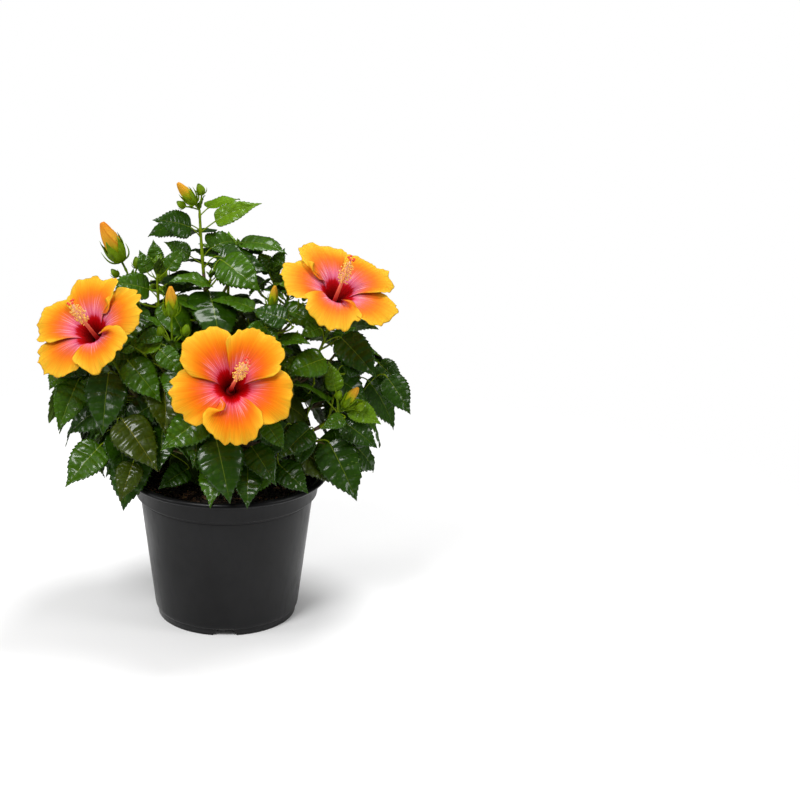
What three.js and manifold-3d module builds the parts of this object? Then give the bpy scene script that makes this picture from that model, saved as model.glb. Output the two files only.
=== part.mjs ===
// A hibiscus shrub in its nursery pot: pot, compost, trunk, boughs, leafy masses and three open blooms.
// Millimetres, x to the right, y to the back, z up. The origin is under the middle of the pot.
import * as THREE from "three";
import { mergeVertices } from "three/addons/utils/BufferGeometryUtils.js";
import Module from "manifold-3d";

const wasm = await Module();
wasm.setup();

const V = (x, y, z) => new THREE.Vector3(x, y, z);
const UP = V(0, 0, 1);
const RIGHT = V(1, 0, 0);
const BACK = V(0, 1, 0);
const DEGREE = Math.PI / 180;
const GAP = 0.3; // between pieces that touch on the real plant

// The pot
const POT_SIDES = 32;
const POT_HEIGHT = 191;
const LIP_RADIUS = 127;
const LIP_INNER_RADIUS = 118;
const LIP_DEPTH = 7;
const COLLAR_RADIUS = 116;
const COLLAR_DEPTH = 31;
const BODY_TOP_RADIUS = 108.7;
const BODY_FOOT_RADIUS = 91;
const FOOT_RADIUS = 87.6;
const FOOT_HEIGHT = 9.5;
const WALL = 2.4;
const NOTCHES = 3;
const NOTCH_TURN = -1.9; // degrees from the front
const NOTCH_WIDTH_TOP = 18;
const NOTCH_WIDTH_FOOT = 31;

// The compost
const SOIL_TOP = 168;

// The trunk
const TRUNK_TOP = V(-5, 5, 288);
const TRUNK_RADIUS = 9;
const TRUNK_TIP_RADIUS = 6;
const TRUNK_SIDES = 9;
const TRUNK_STEPS = 10;
const ROOT_FLARE = 6; // more radius at the compost, gone within the
const FLARE_SHARE = 0.12; // of the trunk's height

// Limbs, twigs and leaf stalks
const BOUGH_RADIUS = 4;
const STEM_RADIUS = 2.7;
const TWIG_RADIUS = 1.9;
const TIP_RADIUS = 1.5;
const STALK_RADIUS = 0.9;
const BOUGH_SIDES = 6;
const TWIG_SIDES = 4;
const LIMB_STEPS = 3;
const BOUGH_SHARE = 0.42; // of the way from the trunk to a mass's main tip
const FORK_FIRST = 0.16; // of a mass's stem, where its first side twig leaves it
const FORK_STEP = 0.2; // and from there to the next
const BARE_STEM = 0.06; // of a stem's length, with no leaves at its foot
const BARE_TWIG = 0.1; // the same, on a side twig
const CURVE_OUT = 0.8; // a limb has gone this far outwards when it
const CURVE_UP = 0.38; // has risen this far

// Leaves
const LEAF_LONG = 96;
const LEAF_SHORT = 54;
const LEAF_GROWS_OVER = 70; // down the twig from its tip
const LEAF_SPACING = 15;
const LEAF_WIDTH = 0.34; // half the width, as a share of the length
const LEAF_FOOT_POWER = 0.5; // a leaf's outline is round at its foot
const LEAF_TIP_POWER = 1.08; // and drawn out to its tip
const LEAF_WIDEST = 0.376; // what those two powers come to where it is widest
const LEAF_THICK = 0.014;
const LEAF_SPREAD = 125; // degrees to either side of straight out of the crown
const GOLDEN = 0.618; // of that spread, from one leaf to the next
const AROUND_RADIUS = 45; // a twig this near the middle of the crown has leaves all round it
const LEAF_SIZES = [0.84, 1.02]; // the least and the most of a leaf's usual length
const DROOP_STRAYS = 7; // degrees that one leaf may differ from the next
const TURN_STRAYS = 10;
const TWIST_STRAYS = 12;
const FACING_TWIST = 42; // degrees that a leaf at the side turns its face to the front, or to the back
const FACING_OVER = 50; // from the middle of the crown, where leaves do neither
const LEAF_BEND = 34; // degrees that a blade bends along its length
const LEAF_FOLD = 13; // degrees that each half rises from the midrib
const STALK_SHARE = 0.24; // of a leaf's length
const STALK_LEAST = 3; // more than that share
const STALK_FOOT = 5; // at its foot, where it may touch what its twig touches
const STALK_OUT = 0.86; // a stalk leaves its twig this much outwards
const STALK_ALONG = 0.5; // and this much along it
const STEEP = 0.35; // a twig that points the leaf's way within this leaves no room for that
const LOW_DROOP = 44; // degrees below level, at the pot's rim
const HIGH_DROOP = 6; // the same, at the top of the crown
const YOUNG_DROOP = -22; // and at the very tip of a twig, where leaves still stand up
const YOUNG_OVER = 50; // down the twig from its tip
const CROWN_FOOT = 190;
const CROWN_TOP = 545;
const CLEAR = 1.8; // between a leaf and anything that it doesn't grow on
const CROWN_RADII = V(238, 182, 245);
const CROWN_MIDDLE = V(0, 0, 335);
const TRIES = 24;
const TRY_TURN = 9; // degrees from one try to the next
const TRY_TWIST = 3;
const TRY_SIZE = 0.99; // of the size at the try before
const TRY_STEP = 2; // that a laid leaf is moved nearer or farther
const LAID_FACE = V(0, -0.8, 0.6); // where a laid leaf usually faces
const LEVEL = V(0, -0.15, 1); // where one faces that is seen from its side
const LAID_ROOT_BELOW = 12; // its foot, where its twig is looked for
const LAID_ROOT_STEPS = 24;
const HIDDEN_WITHIN = 120; // behind a leaf
const SEED = 101;
const SEED_STEP = 977; // from one twig's run of numbers to the next

// Rosettes and buds
const ROSETTE_LEAVES = 4;
const ROSETTE_LONG = 38;
const ROSETTE_LESS = 3; // from one leaf to the next
const ROSETTE_DROOP = -55;
const BUD_WIDTH = 0.2; // half the width, as a share of the length
const BUD_FOOT_WIDE = 1.1; // of that width, at its foot
const BUD_TIP_WIDE = 0.6; // and at its tip
const SMALL_BUDS = [{ lean: 1, length: 17 }, { lean: -0.8, length: 14 }];
const SMALL_BUD_ASIDE = 15;
const SMALL_BUD_AHEAD = 14;
const SMALL_BUD_WIDTH = 0.24;

// Blooms
const THROAT_RADIUS = 5;
const FUNNEL_DEPTH = 34;
const FUNNEL_OPENS_OVER = 15;
const PETALS = 5;
const PETAL_HALF_ANGLE = 45;
const PETAL_THICK = 1.1;
const PETAL_LIFT = 3.2; // how far a petal's one side stands over the next petal
const PETAL_FOOT_SPREAD = 0.62; // of its width as an angle, at its foot
const PETAL_CORNER = 0.2; // of its radius that is rounded off at its corners
const CURL_FROM = 46; // radius where a petal starts to curl back
const CURL_OVER = 30;
const CURL_DEPTH = 5;
const RUFFLE = 2.6;
const RUFFLE_TURNS = 6;
const RUFFLE_SHIFTS = 2.1;
const PETAL_ACROSS = 4;
const PETAL_ALONG = 4;
const PETAL_NET_ALONG = 3;
const COLUMN_LENGTH = 74;
const CALYX_DEPTH = 20;
const CALYX_FOOT_RADIUS = 5.5;
const CALYX_MOUTH_RADIUS = 9.5;
const COLUMN_RADIUS = 3;
const COLUMN_TIP_RADIUS = 1.6;
const ANTHERS_FROM = 0.52; // of the column's length
const ANTHERS_TO = 0.92;
const ANTHERS_RADIUS = 8;

const leafGreen = new THREE.MeshStandardMaterial({ color: 0x1f4a14, roughness: 0.35, metalness: 0 });
const petalOrange = new THREE.MeshStandardMaterial({ color: 0xf98a2e, roughness: 0.5, metalness: 0 });
const barkBrown = new THREE.MeshStandardMaterial({ color: 0x4d3a26, roughness: 0.85, metalness: 0 });
const compostBrown = new THREE.MeshStandardMaterial({ color: 0x24170f, roughness: 0.95, metalness: 0 });
const potBlack = new THREE.MeshStandardMaterial({ color: 0x2b2c2d, roughness: 0.5, metalness: 0 });

// Each mass: the height where its bough leaves the trunk, and its tips. The first tip ends its main stem.
// A tip says where it is, which way its first leaf points in degrees, from the right round by the back,
// and what it carries above its leaves. An old tip has no young leaves at its end. Laid leaves are those
// that shape the shrub's front: each is given by the foot and the tip of its blade, and by where it faces
// if that is not as usual.
const MASSES = [
  { name: "leader", from: 286, tips: [
    { at: V(-33, 8, 520), first: 10, bears: "buds", bud: V(-59, 0, 555), budSize: 34 },
    { at: V(14, 20, 468), first: 0 },
    { at: V(-20, -14, 440), first: -60 },
  ], laid: [
    [V(-43, 0, 500), V(-87, -22, 516)],
    [V(-14, 4, 507), V(41, -6, 534)],
    [V(15, 26, 475), V(75, 10, 470), LEVEL],
    [V(-12, 6, 463), V(50, -6, 446)],
    [V(-7, -4, 461), V(41, -34, 429)],
    [V(-19, 0, 426), V(-69, -16, 439), LEVEL],
    [V(-45, 16, 461), V(-76, 6, 481)],
  ] },
  { name: "upper_left", from: 268, tips: [
    { at: V(-116, 12, 428), first: 200, bears: "buds", bud: V(-150, 5, 505), budSize: 54 },
    { at: V(-84, -10, 444), first: 160, bears: "rosette" },
    { at: V(-58, -14, 398), first: -90 },
  ], laid: [
    [V(-94, -5, 424), V(-140, -24, 439)],
    [V(-71, -20, 453), V(-52, -12, 477)],
    [V(-85, 0, 454), V(-89, 8, 483)],
    [V(-95, -16, 448), V(-105, -12, 475)],
  ] },
  { name: "left_bloom_spray", from: 238, tips: [
    { at: V(-124, -46, 322), first: 197, old: true },
    { at: V(-92, -60, 326), first: 211, old: true },
    { at: V(-160, -6, 330), first: 175 },
  ], laid: [
    [V(-141, -60, 335), V(-149, -84, 262)],
    [V(-180, -26, 315), V(-204, -44, 256)],
    [V(-117, -70, 353), V(-78, -90, 307)],
  ] },
  { name: "front_left", from: 250, tips: [
    { at: V(-65, -70, 372), first: 190, bears: "buds", bud: V(-66, -78, 448), budSize: 37 },
    { at: V(-100, -36, 376), first: 190 },
  ], laid: [
    [V(-52, -84, 405), V(0, -70, 424), LEVEL],
    [V(-78, -74, 399), V(-106, -78, 413), LEVEL],
    [V(-77, -82, 391), V(-109, -88, 384)],
    [V(-79, -86, 372), V(-51, -98, 345)],
  ] },
  { name: "front_bloom_spray", from: 228, tips: [
    { at: V(2, -72, 300), first: -160 },
    { at: V(-44, -56, 286), first: 227, old: true },
    { at: V(52, -76, 300), first: -57, old: true },
  ], laid: [
    [V(-25, -92, 291), V(-79, -122, 258)],
    [V(47, -92, 281), V(68, -112, 256)],
  ] },
  { name: "front_right", from: 260, tips: [
    { at: V(50, -52, 388), first: 0, bears: "buds", bud: V(57, -58, 444), budSize: 28 },
    { at: V(84, -70, 332), first: -60, old: true },
  ], laid: [
    [V(33, -62, 416), V(-21, -50, 426), LEVEL],
    [V(45, -74, 397), V(18, -86, 393)],
    [V(47, -76, 395), V(61, -90, 382)],
    [V(56, -56, 410), V(83, -62, 406), LEVEL],
  ] },
  { name: "upper_right", from: 278, tips: [
    { at: V(58, 14, 430), first: 120, bears: "rosette" },
    { at: V(94, 18, 402), first: 30 },
  ], laid: [
    [V(58, 18, 445), V(71, 24, 470)],
    [V(52, 2, 444), V(40, -2, 467)],
  ] },
  { name: "right_bloom_spray", from: 250, tips: [
    { at: V(119, -30, 370), first: -20 },
    { at: V(140, 2, 352), first: 0, old: true },
    { at: V(112, -52, 338), first: -80 },
  ], laid: [
    [V(139, -22, 369), V(182, -46, 324)],
    [V(118, -58, 353), V(67, -78, 337)],
    [V(112, -40, 386), V(86, -58, 379)],
  ] },
  { name: "low_right", from: 218, tips: [
    { at: V(136, -66, 288), first: -20, bears: "buds", bud: V(158, -75, 322), budSize: 31 },
    { at: V(104, -62, 248), first: -30, old: true },
    { at: V(142, -30, 290), first: -16, old: true },
  ], laid: [
    [V(100, -86, 274), V(61, -112, 244)],
    [V(96, -70, 258), V(86, -92, 225)],
    [V(124, -60, 247), V(159, -90, 180)],
    [V(142, -54, 271), V(184, -66, 240)],
    [V(148, -76, 299), V(188, -84, 277)],
    [V(141, -86, 287), V(112, -98, 277)],
    [V(132, -68, 315), V(123, -56, 350)],
    [V(121, -74, 304), V(76, -88, 332), LEVEL],
  ] },
  { name: "low_left", from: 212, tips: [
    { at: V(-134, -50, 258), first: 200, old: true },
    { at: V(-82, -76, 254), first: 222, old: true },
    { at: V(-152, -8, 266), first: 180, old: true },
  ], laid: [
    [V(-153, -54, 241), V(-195, -80, 196)],
    [V(-125, -84, 285), V(-82, -114, 228)],
    [V(-112, -92, 233), V(-127, -114, 190)],
    [V(-48, -60, 212), V(-83, -84, 196)],
  ] },
  { name: "low_front", from: 204, tips: [
    { at: V(4, -78, 262), first: -88, old: true },
    { at: V(34, -88, 244), first: -76, old: true },
    { at: V(74, -80, 246), first: -48, old: true },
  ], laid: [
    [V(-13, -108, 268), V(4, -142, 198)],
    [V(25, -98, 231), V(24, -138, 191)],
    [V(29, -92, 253), V(59, -126, 215)],
    [V(63, -86, 227), V(98, -112, 198)],
  ] },
  { name: "right_side", from: 226, tips: [
    { at: V(162, 18, 318), first: 4, old: true },
    { at: V(168, 0, 290), first: 0, old: true },
    { at: V(132, 84, 276), first: 35, old: true },
  ], laid: [
    [V(187, -6, 332), V(218, -16, 301)],
    [V(196, -34, 322), V(227, -44, 276)],
    [V(197, -30, 321), V(136, -20, 343)],
  ] },
  { name: "left_side", from: 222, tips: [
    { at: V(-150, 40, 318), first: 165, old: true },
    { at: V(-146, 26, 266), first: 170, old: true },
    { at: V(-114, 86, 270), first: 145, old: true },
  ] },
  { name: "back_left", from: 234, tips: [
    { at: V(-76, 92, 388), first: 110, bears: "buds", bud: V(-88, 106, 438), budSize: 32 },
    { at: V(-94, 100, 312), first: 130, old: true },
    { at: V(-120, 60, 366), first: 160 },
  ] },
  { name: "back_right", from: 240, tips: [
    { at: V(78, 84, 394), first: 50, bears: "rosette" },
    { at: V(92, 100, 308), first: 50, old: true },
    { at: V(124, 56, 362), first: 20 },
  ] },
  { name: "back_low", from: 208, tips: [
    { at: V(2, 118, 284), first: 90, old: true },
    { at: V(-50, 112, 258), first: 115, old: true },
    { at: V(54, 112, 256), first: 65, old: true },
  ] },
  { name: "back_top", from: 274, tips: [
    { at: V(2, 72, 440), first: 90, bears: "rosette" },
    { at: V(-22, 110, 362), first: 110 },
    { at: V(34, 112, 344), first: 60 },
  ] },
];

// Each bloom: the mass whose main stem it stands on, where its throat is, its radius, which way it
// faces, where its column leans, and how far it is turned about its own axis.
const BLOOMS = [
  { name: "bloom_left", on: "left_bloom_spray", throat: V(-152, -50, 373), radius: 73,
    faces: V(-0.43, -0.55, 0.72), column: V(-0.42, -0.45, 0.79), spin: -9 },
  { name: "bloom_front", on: "front_bloom_spray", throat: V(4, -110, 329), radius: 75,
    faces: V(0.08, -0.83, 0.55), column: V(0.28, -0.62, 0.73), spin: 37 },
  { name: "bloom_right", on: "right_bloom_spray", throat: V(128, -30, 413), radius: 75,
    faces: V(0.25, -0.44, 0.86), column: V(0.28, -0.34, 0.9), spin: 20 },
];
const SEEN_FROM = V(0, -0.95, 0.315); // blooms stand clear of leaves on this side
const BLOOM_CLEAR_RADIUS = 62;

// Where light comes through the crown from the back: the middle and the radius of each gap.
const CLEARINGS = [
  [V(-43, 10, 450), 9], [V(-33, 0, 418), 8], [V(-10, 0, 430), 10], [V(13, 0, 434), 10],
  [V(110, -20, 354), 10], [V(83, -20, 380), 8], [V(129, -20, 348), 9],
  [V(106, -40, 276), 8], [V(-131, -30, 309), 8],
];

// A repeatable run of numbers from 0 to 1.
function numbers(seed) {
  let state = seed;
  return () => {
    state = (Math.imul(state, 1664525) + 1013904223) >>> 0;
    return state / 2 ** 32;
  };
}

const mix = (a, b, share) => a + (b - a) * share;
const within = (x) => Math.min(1, Math.max(0, x));
const smooth = (x) => within(x) ** 2 * (3 - 2 * within(x));

// Makes a closed geometry a solid that can be joined and cut.
function solid(geometry) {
  const bare = geometry.clone();
  bare.deleteAttribute("normal");
  bare.deleteAttribute("uv");
  const merged = mergeVertices(bare, 1e-4);
  const mesh = new wasm.Mesh({
    numProp: 3,
    vertProperties: merged.attributes.position.array,
    triVerts: new Uint32Array(merged.index.array),
  });
  return new wasm.Manifold(mesh);
}

const joined = (solids) => solids.reduce((all, one) => all.add(one));

function meshOf(name, made, material) {
  const { vertProperties, triVerts } = made.getMesh();
  const geometry = new THREE.BufferGeometry();
  geometry.setAttribute("position", new THREE.BufferAttribute(vertProperties, 3));
  geometry.setIndex(new THREE.BufferAttribute(triVerts, 1));
  const mesh = new THREE.Mesh(geometry, material);
  mesh.name = name;
  return mesh;
}

// A solid turned round the z axis, from [radius, height] pairs that run outwards and up.
function turned(profile, sides) {
  const points = profile.map(([radius, height]) => new THREE.Vector2(radius, height));
  const lathe = new THREE.LatheGeometry(points, sides);
  lathe.rotateX(Math.PI / 2);
  return solid(lathe);
}

// The wall's outside, from the foot to the lip, then its inside back down to the floor.
function pot() {
  const collarFoot = POT_HEIGHT - COLLAR_DEPTH;
  const lipFoot = POT_HEIGHT - LIP_DEPTH;
  const floorTop = FOOT_HEIGHT + WALL;
  const skirtInner = FOOT_RADIUS - WALL;
  const profile = [
    [0, FOOT_HEIGHT],
    [skirtInner, FOOT_HEIGHT],
    [skirtInner, 0],
    [FOOT_RADIUS, 0],
    [FOOT_RADIUS + 1, FOOT_HEIGHT - 1],
    [BODY_FOOT_RADIUS, FOOT_HEIGHT + 2],
    [BODY_TOP_RADIUS, collarFoot],
    [COLLAR_RADIUS - 2, collarFoot + 1.5],
    [COLLAR_RADIUS, lipFoot - 2],
    [LIP_RADIUS - 2, lipFoot],
    [LIP_RADIUS, lipFoot + 2],
    [LIP_RADIUS - 1, POT_HEIGHT - 1.5],
    [LIP_RADIUS - 3.5, POT_HEIGHT],
    [LIP_INNER_RADIUS, POT_HEIGHT - 1.5],
    [COLLAR_RADIUS - WALL, lipFoot - 2],
    [COLLAR_RADIUS - 2 - WALL, collarFoot + 3],
    [BODY_TOP_RADIUS - WALL, collarFoot + 1],
    [BODY_FOOT_RADIUS - WALL, floorTop + 2],
    [BODY_FOOT_RADIUS - WALL - 2, floorTop],
    [0, floorTop],
  ];
  return turned(profile, POT_SIDES).subtract(notches());
}

// The gaps in the pot's foot that let water out.
function notches() {
  const outline = new THREE.Shape([
    new THREE.Vector2(-NOTCH_WIDTH_FOOT / 2, -1),
    new THREE.Vector2(NOTCH_WIDTH_FOOT / 2, -1),
    new THREE.Vector2(NOTCH_WIDTH_TOP / 2, FOOT_HEIGHT - 1),
    new THREE.Vector2(-NOTCH_WIDTH_TOP / 2, FOOT_HEIGHT - 1),
  ]);
  const cuts = [];
  for (let i = 0; i < NOTCHES; i += 1) {
    const depth = LIP_RADIUS - FOOT_RADIUS / 2;
    const cut = new THREE.ExtrudeGeometry(outline, { depth, bevelEnabled: false });
    cut.rotateX(Math.PI / 2);
    cut.translate(0, -FOOT_RADIUS / 2, 0);
    cut.rotateZ((NOTCH_TURN + (360 / NOTCHES) * i) * DEGREE);
    cuts.push(solid(cut));
  }
  return joined(cuts);
}

// The compost fills the pot up to a level top.
function soil() {
  const floor = FOOT_HEIGHT + WALL + GAP;
  const clear = WALL + GAP + 0.2;
  const collarFoot = POT_HEIGHT - COLLAR_DEPTH;
  return turned([
    [0, floor],
    [BODY_FOOT_RADIUS - clear - 2.5, floor],
    [BODY_FOOT_RADIUS - clear, floor + 4],
    [BODY_TOP_RADIUS - clear, collarFoot],
    [BODY_TOP_RADIUS - clear, SOIL_TOP],
    [0, SOIL_TOP],
  ], POT_SIDES);
}

// A curve that leaves the trunk outwards and then turns up, as a shrub's limbs do.
function risingCurve(start, end) {
  const bend = V(
    mix(start.x, end.x, CURVE_OUT),
    mix(start.y, end.y, CURVE_OUT),
    mix(start.z, end.z, CURVE_UP),
  );
  return new THREE.QuadraticBezierCurve3(start, bend, end);
}

const pointOn = (curve, share) => curve.getPoint(share);
const wayOf = (curve, share) => {
  const { v0, v1, v2 } = curve;
  return v1.clone().sub(v0).multiplyScalar(1 - share).addScaledVector(v2.clone().sub(v1), share).normalize();
};

// A round limb along part of a curve, with its radius given for each share of its own length.
function limb(curve, from, to, radiusAt, sides, steps) {
  const straight = new THREE.CylinderGeometry(1, 1, 1, sides, steps);
  const place = straight.attributes.position;
  const middle = wayOf(curve, 0.5);
  const across = Math.abs(middle.x) < 0.8 ? RIGHT : BACK;
  for (let i = 0; i < place.count; i += 1) {
    const along = place.getY(i) + 0.5;
    const share = mix(from, to, along);
    const way = wayOf(curve, share);
    const first = across.clone().addScaledVector(way, -across.dot(way)).normalize();
    const second = first.clone().cross(way);
    const point = pointOn(curve, share)
      .addScaledVector(first, place.getX(i) * radiusAt(along))
      .addScaledVector(second, place.getZ(i) * radiusAt(along));
    place.setXYZ(i, point.x, point.y, point.z);
  }
  return solid(straight);
}

const taper = (from, to) => (along) => mix(from, to, along);

// The same limb as a row of short straight rods, for the test of what is clear of what.
function rodsOf(curve, from, to, radiusFrom, radiusTo, steps) {
  const rods = [];
  for (let i = 0; i < steps; i += 1) {
    rods.push({
      a: pointOn(curve, mix(from, to, i / steps)),
      b: pointOn(curve, mix(from, to, (i + 1) / steps)),
      radius: mix(radiusFrom, radiusTo, i / steps),
    });
  }
  return rods;
}

// Half of a leaf's width at a share of its length, as a share of the half width where it is widest.
const leafHalfWidth = (share) =>
  (share ** LEAF_FOOT_POWER * (1 - share) ** LEAF_TIP_POWER) / LEAF_WIDEST;

// A leaf's middle surface: share runs from foot to tip and side from -1 to 1.
function leafPoint(leaf, share, side) {
  const bend = LEAF_BEND * DEGREE;
  const angle = bend * share;
  const [sine, cosine] = [Math.sin(angle), Math.cos(angle)];
  const forward = leaf.way.clone().multiplyScalar(cosine).addScaledVector(leaf.face, -sine);
  const face = leaf.face.clone().multiplyScalar(cosine).addScaledVector(leaf.way, sine);
  const right = forward.clone().cross(face);
  const half = leaf.length * LEAF_WIDTH * leafHalfWidth(share) * side;
  const fold = LEAF_FOLD * DEGREE;
  return leaf.foot.clone()
    .addScaledVector(leaf.way, (leaf.length * sine) / bend)
    .addScaledVector(leaf.face, (-leaf.length * (1 - cosine)) / bend)
    .addScaledVector(right, half * Math.cos(fold))
    .addScaledVector(face, Math.abs(half) * Math.sin(fold));
}

const LOW_SHARE = 0.15; // of a leaf's length: its outline's lower corners,
const MIDDLE_SHARE = 0.42; // the fold across its midrib,
const HIGH_SHARE = 0.56; // and its outline's upper corners

// The corners of a leaf's middle surface, and the triangles between them.
function leafNet(leaf) {
  const corners = [
    leafPoint(leaf, 0, 0), leafPoint(leaf, MIDDLE_SHARE, 0), leafPoint(leaf, 1, 0),
    leafPoint(leaf, LOW_SHARE, 1), leafPoint(leaf, HIGH_SHARE, 1),
    leafPoint(leaf, LOW_SHARE, -1), leafPoint(leaf, HIGH_SHARE, -1),
  ];
  const faces = [[0, 3, 1], [3, 4, 1], [4, 2, 1], [0, 1, 5], [5, 1, 6], [6, 1, 2]];
  return { corners, faces };
}

// Three points round a leaf's stalk: above it, to its left and to its right.
function stalkRing(leaf, middle, way, radius) {
  const right = leaf.way.clone().cross(leaf.face);
  right.addScaledVector(way, -right.dot(way)).normalize();
  const above = right.clone().cross(way);
  const corner = (aside, up) =>
    middle.clone().addScaledVector(right, aside * radius).addScaledVector(above, up * radius);
  return [corner(0, 1), corner(-1, -0.6), corner(1, -0.6)];
}

// A leaf is one closed body: a three-sided stalk that opens into a blade, which is thick along its midrib
// and sharp at its edge.
function leafSolid(leaf) {
  const { corners } = leafNet(leaf);
  const [, middle, ...rim] = corners;
  const half = (leaf.length * LEAF_THICK) / 2;
  const stalkWay = leaf.foot.clone().sub(leaf.root).normalize();
  const footWay = stalkWay.clone().add(leaf.way).normalize();
  const points = [
    ...stalkRing(leaf, leaf.root, stalkWay, STALK_RADIUS),
    ...stalkRing(leaf, leaf.foot, footWay, STALK_RADIUS),
    middle.clone().addScaledVector(leaf.face, half),
    middle.clone().addScaledVector(leaf.face, -half),
    ...rim,
  ];
  const [rootTop, rootLeft, rootRight, footTop, footLeft, footRight] = [0, 1, 2, 3, 4, 5];
  const [over, under, tip, rightLow, rightHigh, leftLow, leftHigh] = [6, 7, 8, 9, 10, 11, 12];
  const geometry = new THREE.BufferGeometry().setFromPoints(points);
  geometry.setIndex([
    rootTop, rootLeft, rootRight,
    footRight, footTop, rootTop, footRight, rootTop, rootRight,
    footLeft, footRight, rootRight, footLeft, rootRight, rootLeft,
    footTop, footLeft, rootLeft, footTop, rootLeft, rootTop,
    footTop, footRight, rightLow, footTop, rightLow, over, rightLow, rightHigh, over, rightHigh, tip, over,
    footTop, leftLow, footLeft, footTop, over, leftLow, leftLow, over, leftHigh, leftHigh, over, tip,
    footRight, under, rightLow, rightLow, under, rightHigh, rightHigh, under, tip,
    footLeft, leftLow, under, leftLow, leftHigh, under, leftHigh, tip, under,
    footRight, footLeft, under,
  ]);
  return solid(geometry);
}

// What stands in the way of a leaf: rods, and nets of triangles.
const rods = [];
const nets = [];

function boundOf(corners) {
  const middle = corners.reduce((sum, p) => sum.add(p), V(0, 0, 0)).divideScalar(corners.length);
  return { middle, radius: Math.max(...corners.map((p) => p.distanceTo(middle))) };
}

function netOf(corners, faces, samples) {
  const triangles = faces.map(([a, b, c]) => new THREE.Triangle(corners[a], corners[b], corners[c]));
  const edges = triangles.flatMap(({ a, b, c }) => [[a, b], [b, c], [c, a]]);
  return { triangles, edges, samples, ...boundOf(corners) };
}

function leafNetOf(leaf) {
  const { corners, faces } = leafNet(leaf);
  const samples = [...corners];
  for (const share of [0.2, 0.5, 0.85]) {
    for (const side of [-0.8, 0, 0.8]) {
      samples.push(leafPoint(leaf, share, side));
    }
  }
  return netOf(corners, faces, samples);
}

const ray = new THREE.Ray();
const spot = V(0, 0, 0);
const near = V(0, 0, 0);

function crosses(start, end, triangle) {
  ray.origin.copy(start);
  ray.direction.copy(end).sub(start).normalize();
  const hit = ray.intersectTriangle(triangle.a, triangle.b, triangle.c, false, spot);
  return hit !== null && hit.distanceTo(start) < end.distanceTo(start);
}

const closeTo = (point, triangle, distance) =>
  triangle.closestPointToPoint(point, near).distanceTo(point) < distance;

const pierces = (edges, triangles) => edges.some(([a, b]) => triangles.some((t) => crosses(a, b, t)));

const brushes = (points, triangles, distance) =>
  points.some((p) => triangles.some((t) => closeTo(p, t, distance)));

const netsMeet = (one, other) =>
  one.middle.distanceTo(other.middle) < one.radius + other.radius + CLEAR &&
  (brushes(one.samples, other.triangles, CLEAR) ||
    brushes(other.samples, one.triangles, CLEAR) ||
    pierces(one.edges, other.triangles) ||
    pierces(other.edges, one.triangles));

// The shortest way between two straight rods.
function rodDistance(p, q) {
  const u = p.b.clone().sub(p.a);
  const v = q.b.clone().sub(q.a);
  const w = p.a.clone().sub(q.a);
  const a = u.dot(u);
  const b = u.dot(v);
  const c = v.dot(v);
  const d = u.dot(w);
  const e = v.dot(w);
  const flat = a * c - b * b;
  let s = flat > 1e-9 ? within((b * e - c * d) / flat) : 0;
  const t = within((b * s + e) / c);
  s = within((b * t - d) / a);
  return p.a.clone().addScaledVector(u, s).distanceTo(q.a.clone().addScaledVector(v, t));
}

function rodMeetsNet(rod, net) {
  const middle = rod.a.clone().lerp(rod.b, 0.5);
  const reach = net.radius + rod.a.distanceTo(rod.b) / 2 + rod.radius + CLEAR;
  return (
    net.middle.distanceTo(middle) < reach &&
    (brushes([rod.a, middle, rod.b], net.triangles, rod.radius + CLEAR / 2) ||
      net.triangles.some((t) => crosses(rod.a, rod.b, t)) ||
      net.edges.some(([a, b]) => rodDistance(rod, { a, b }) < rod.radius + CLEAR / 2))
  );
}

const rodsMeet = (one, other) => rodDistance(one, other) < one.radius + other.radius + CLEAR / 2;

// Whether a point is out of the pot and above the compost.
function clearOfPot(point) {
  const radius = Math.hypot(point.x, point.y);
  const floor = radius < LIP_INNER_RADIUS - 4 ? SOIL_TOP + 4 : POT_HEIGHT + 2.5;
  return radius > LIP_RADIUS + 3 || point.z > floor;
}

const inCrown = (point) => point.clone().sub(CROWN_MIDDLE).divide(CROWN_RADII).length() < 1;

// Leaves stay out of the way between a bloom and the side that it faces.
const hidesBloom = (point) =>
  BLOOMS.some(({ throat, faces }) => {
    const from = point.clone().sub(throat).addScaledVector(faces, -FUNNEL_DEPTH * 0.8);
    const ahead = from.dot(SEEN_FROM);
    return ahead > 0 && from.addScaledVector(SEEN_FROM, -ahead).length() < BLOOM_CLEAR_RADIUS;
  });

// Laid leaves are kept in view: what grows later stays out of the way before them.
const inView = [];
const hidesLaid = (point) => {
  const behind = point.clone().addScaledVector(SEEN_FROM, -HIDDEN_WITHIN);
  return inView.some((triangle) => crosses(point, behind, triangle));
};

const fillsClearing = (point) =>
  CLEARINGS.some(([middle, radius]) => {
    const aside = point.clone().sub(middle);
    return aside.addScaledVector(SEEN_FROM, -aside.dot(SEEN_FROM)).length() < radius;
  });

// Where a given leaf may be, and where one that grows by the rule may be.
const mayLie = (point) => clearOfPot(point) && !hidesBloom(point);
const mayGrow = (point) => mayLie(point) && inCrown(point) && !hidesLaid(point) && !fillsClearing(point);

// A leaf's net and stalk where it has room, or else null. Its stalk may touch its own twig.
function roomFor(leaf, allowed) {
  const net = leafNetOf(leaf);
  if (!net.samples.every(allowed)) return null;
  const from = leaf.root.clone().lerp(leaf.foot, Math.min(0.25, STALK_FOOT / leaf.root.distanceTo(leaf.foot)));
  const stalk = [{ a: from, b: leaf.foot.clone(), radius: STALK_RADIUS }];
  const stalkMeets = (rod) => rod.twig !== leaf.twig && stalk.some((s) => rodsMeet(s, rod));
  if (rods.some((rod) => rodMeetsNet(rod, net) || stalkMeets(rod))) return null;
  if (nets.some((other) => netsMeet(net, other) || stalk.some((s) => rodMeetsNet(s, other)))) return null;
  return { net, stalk };
}

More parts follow.
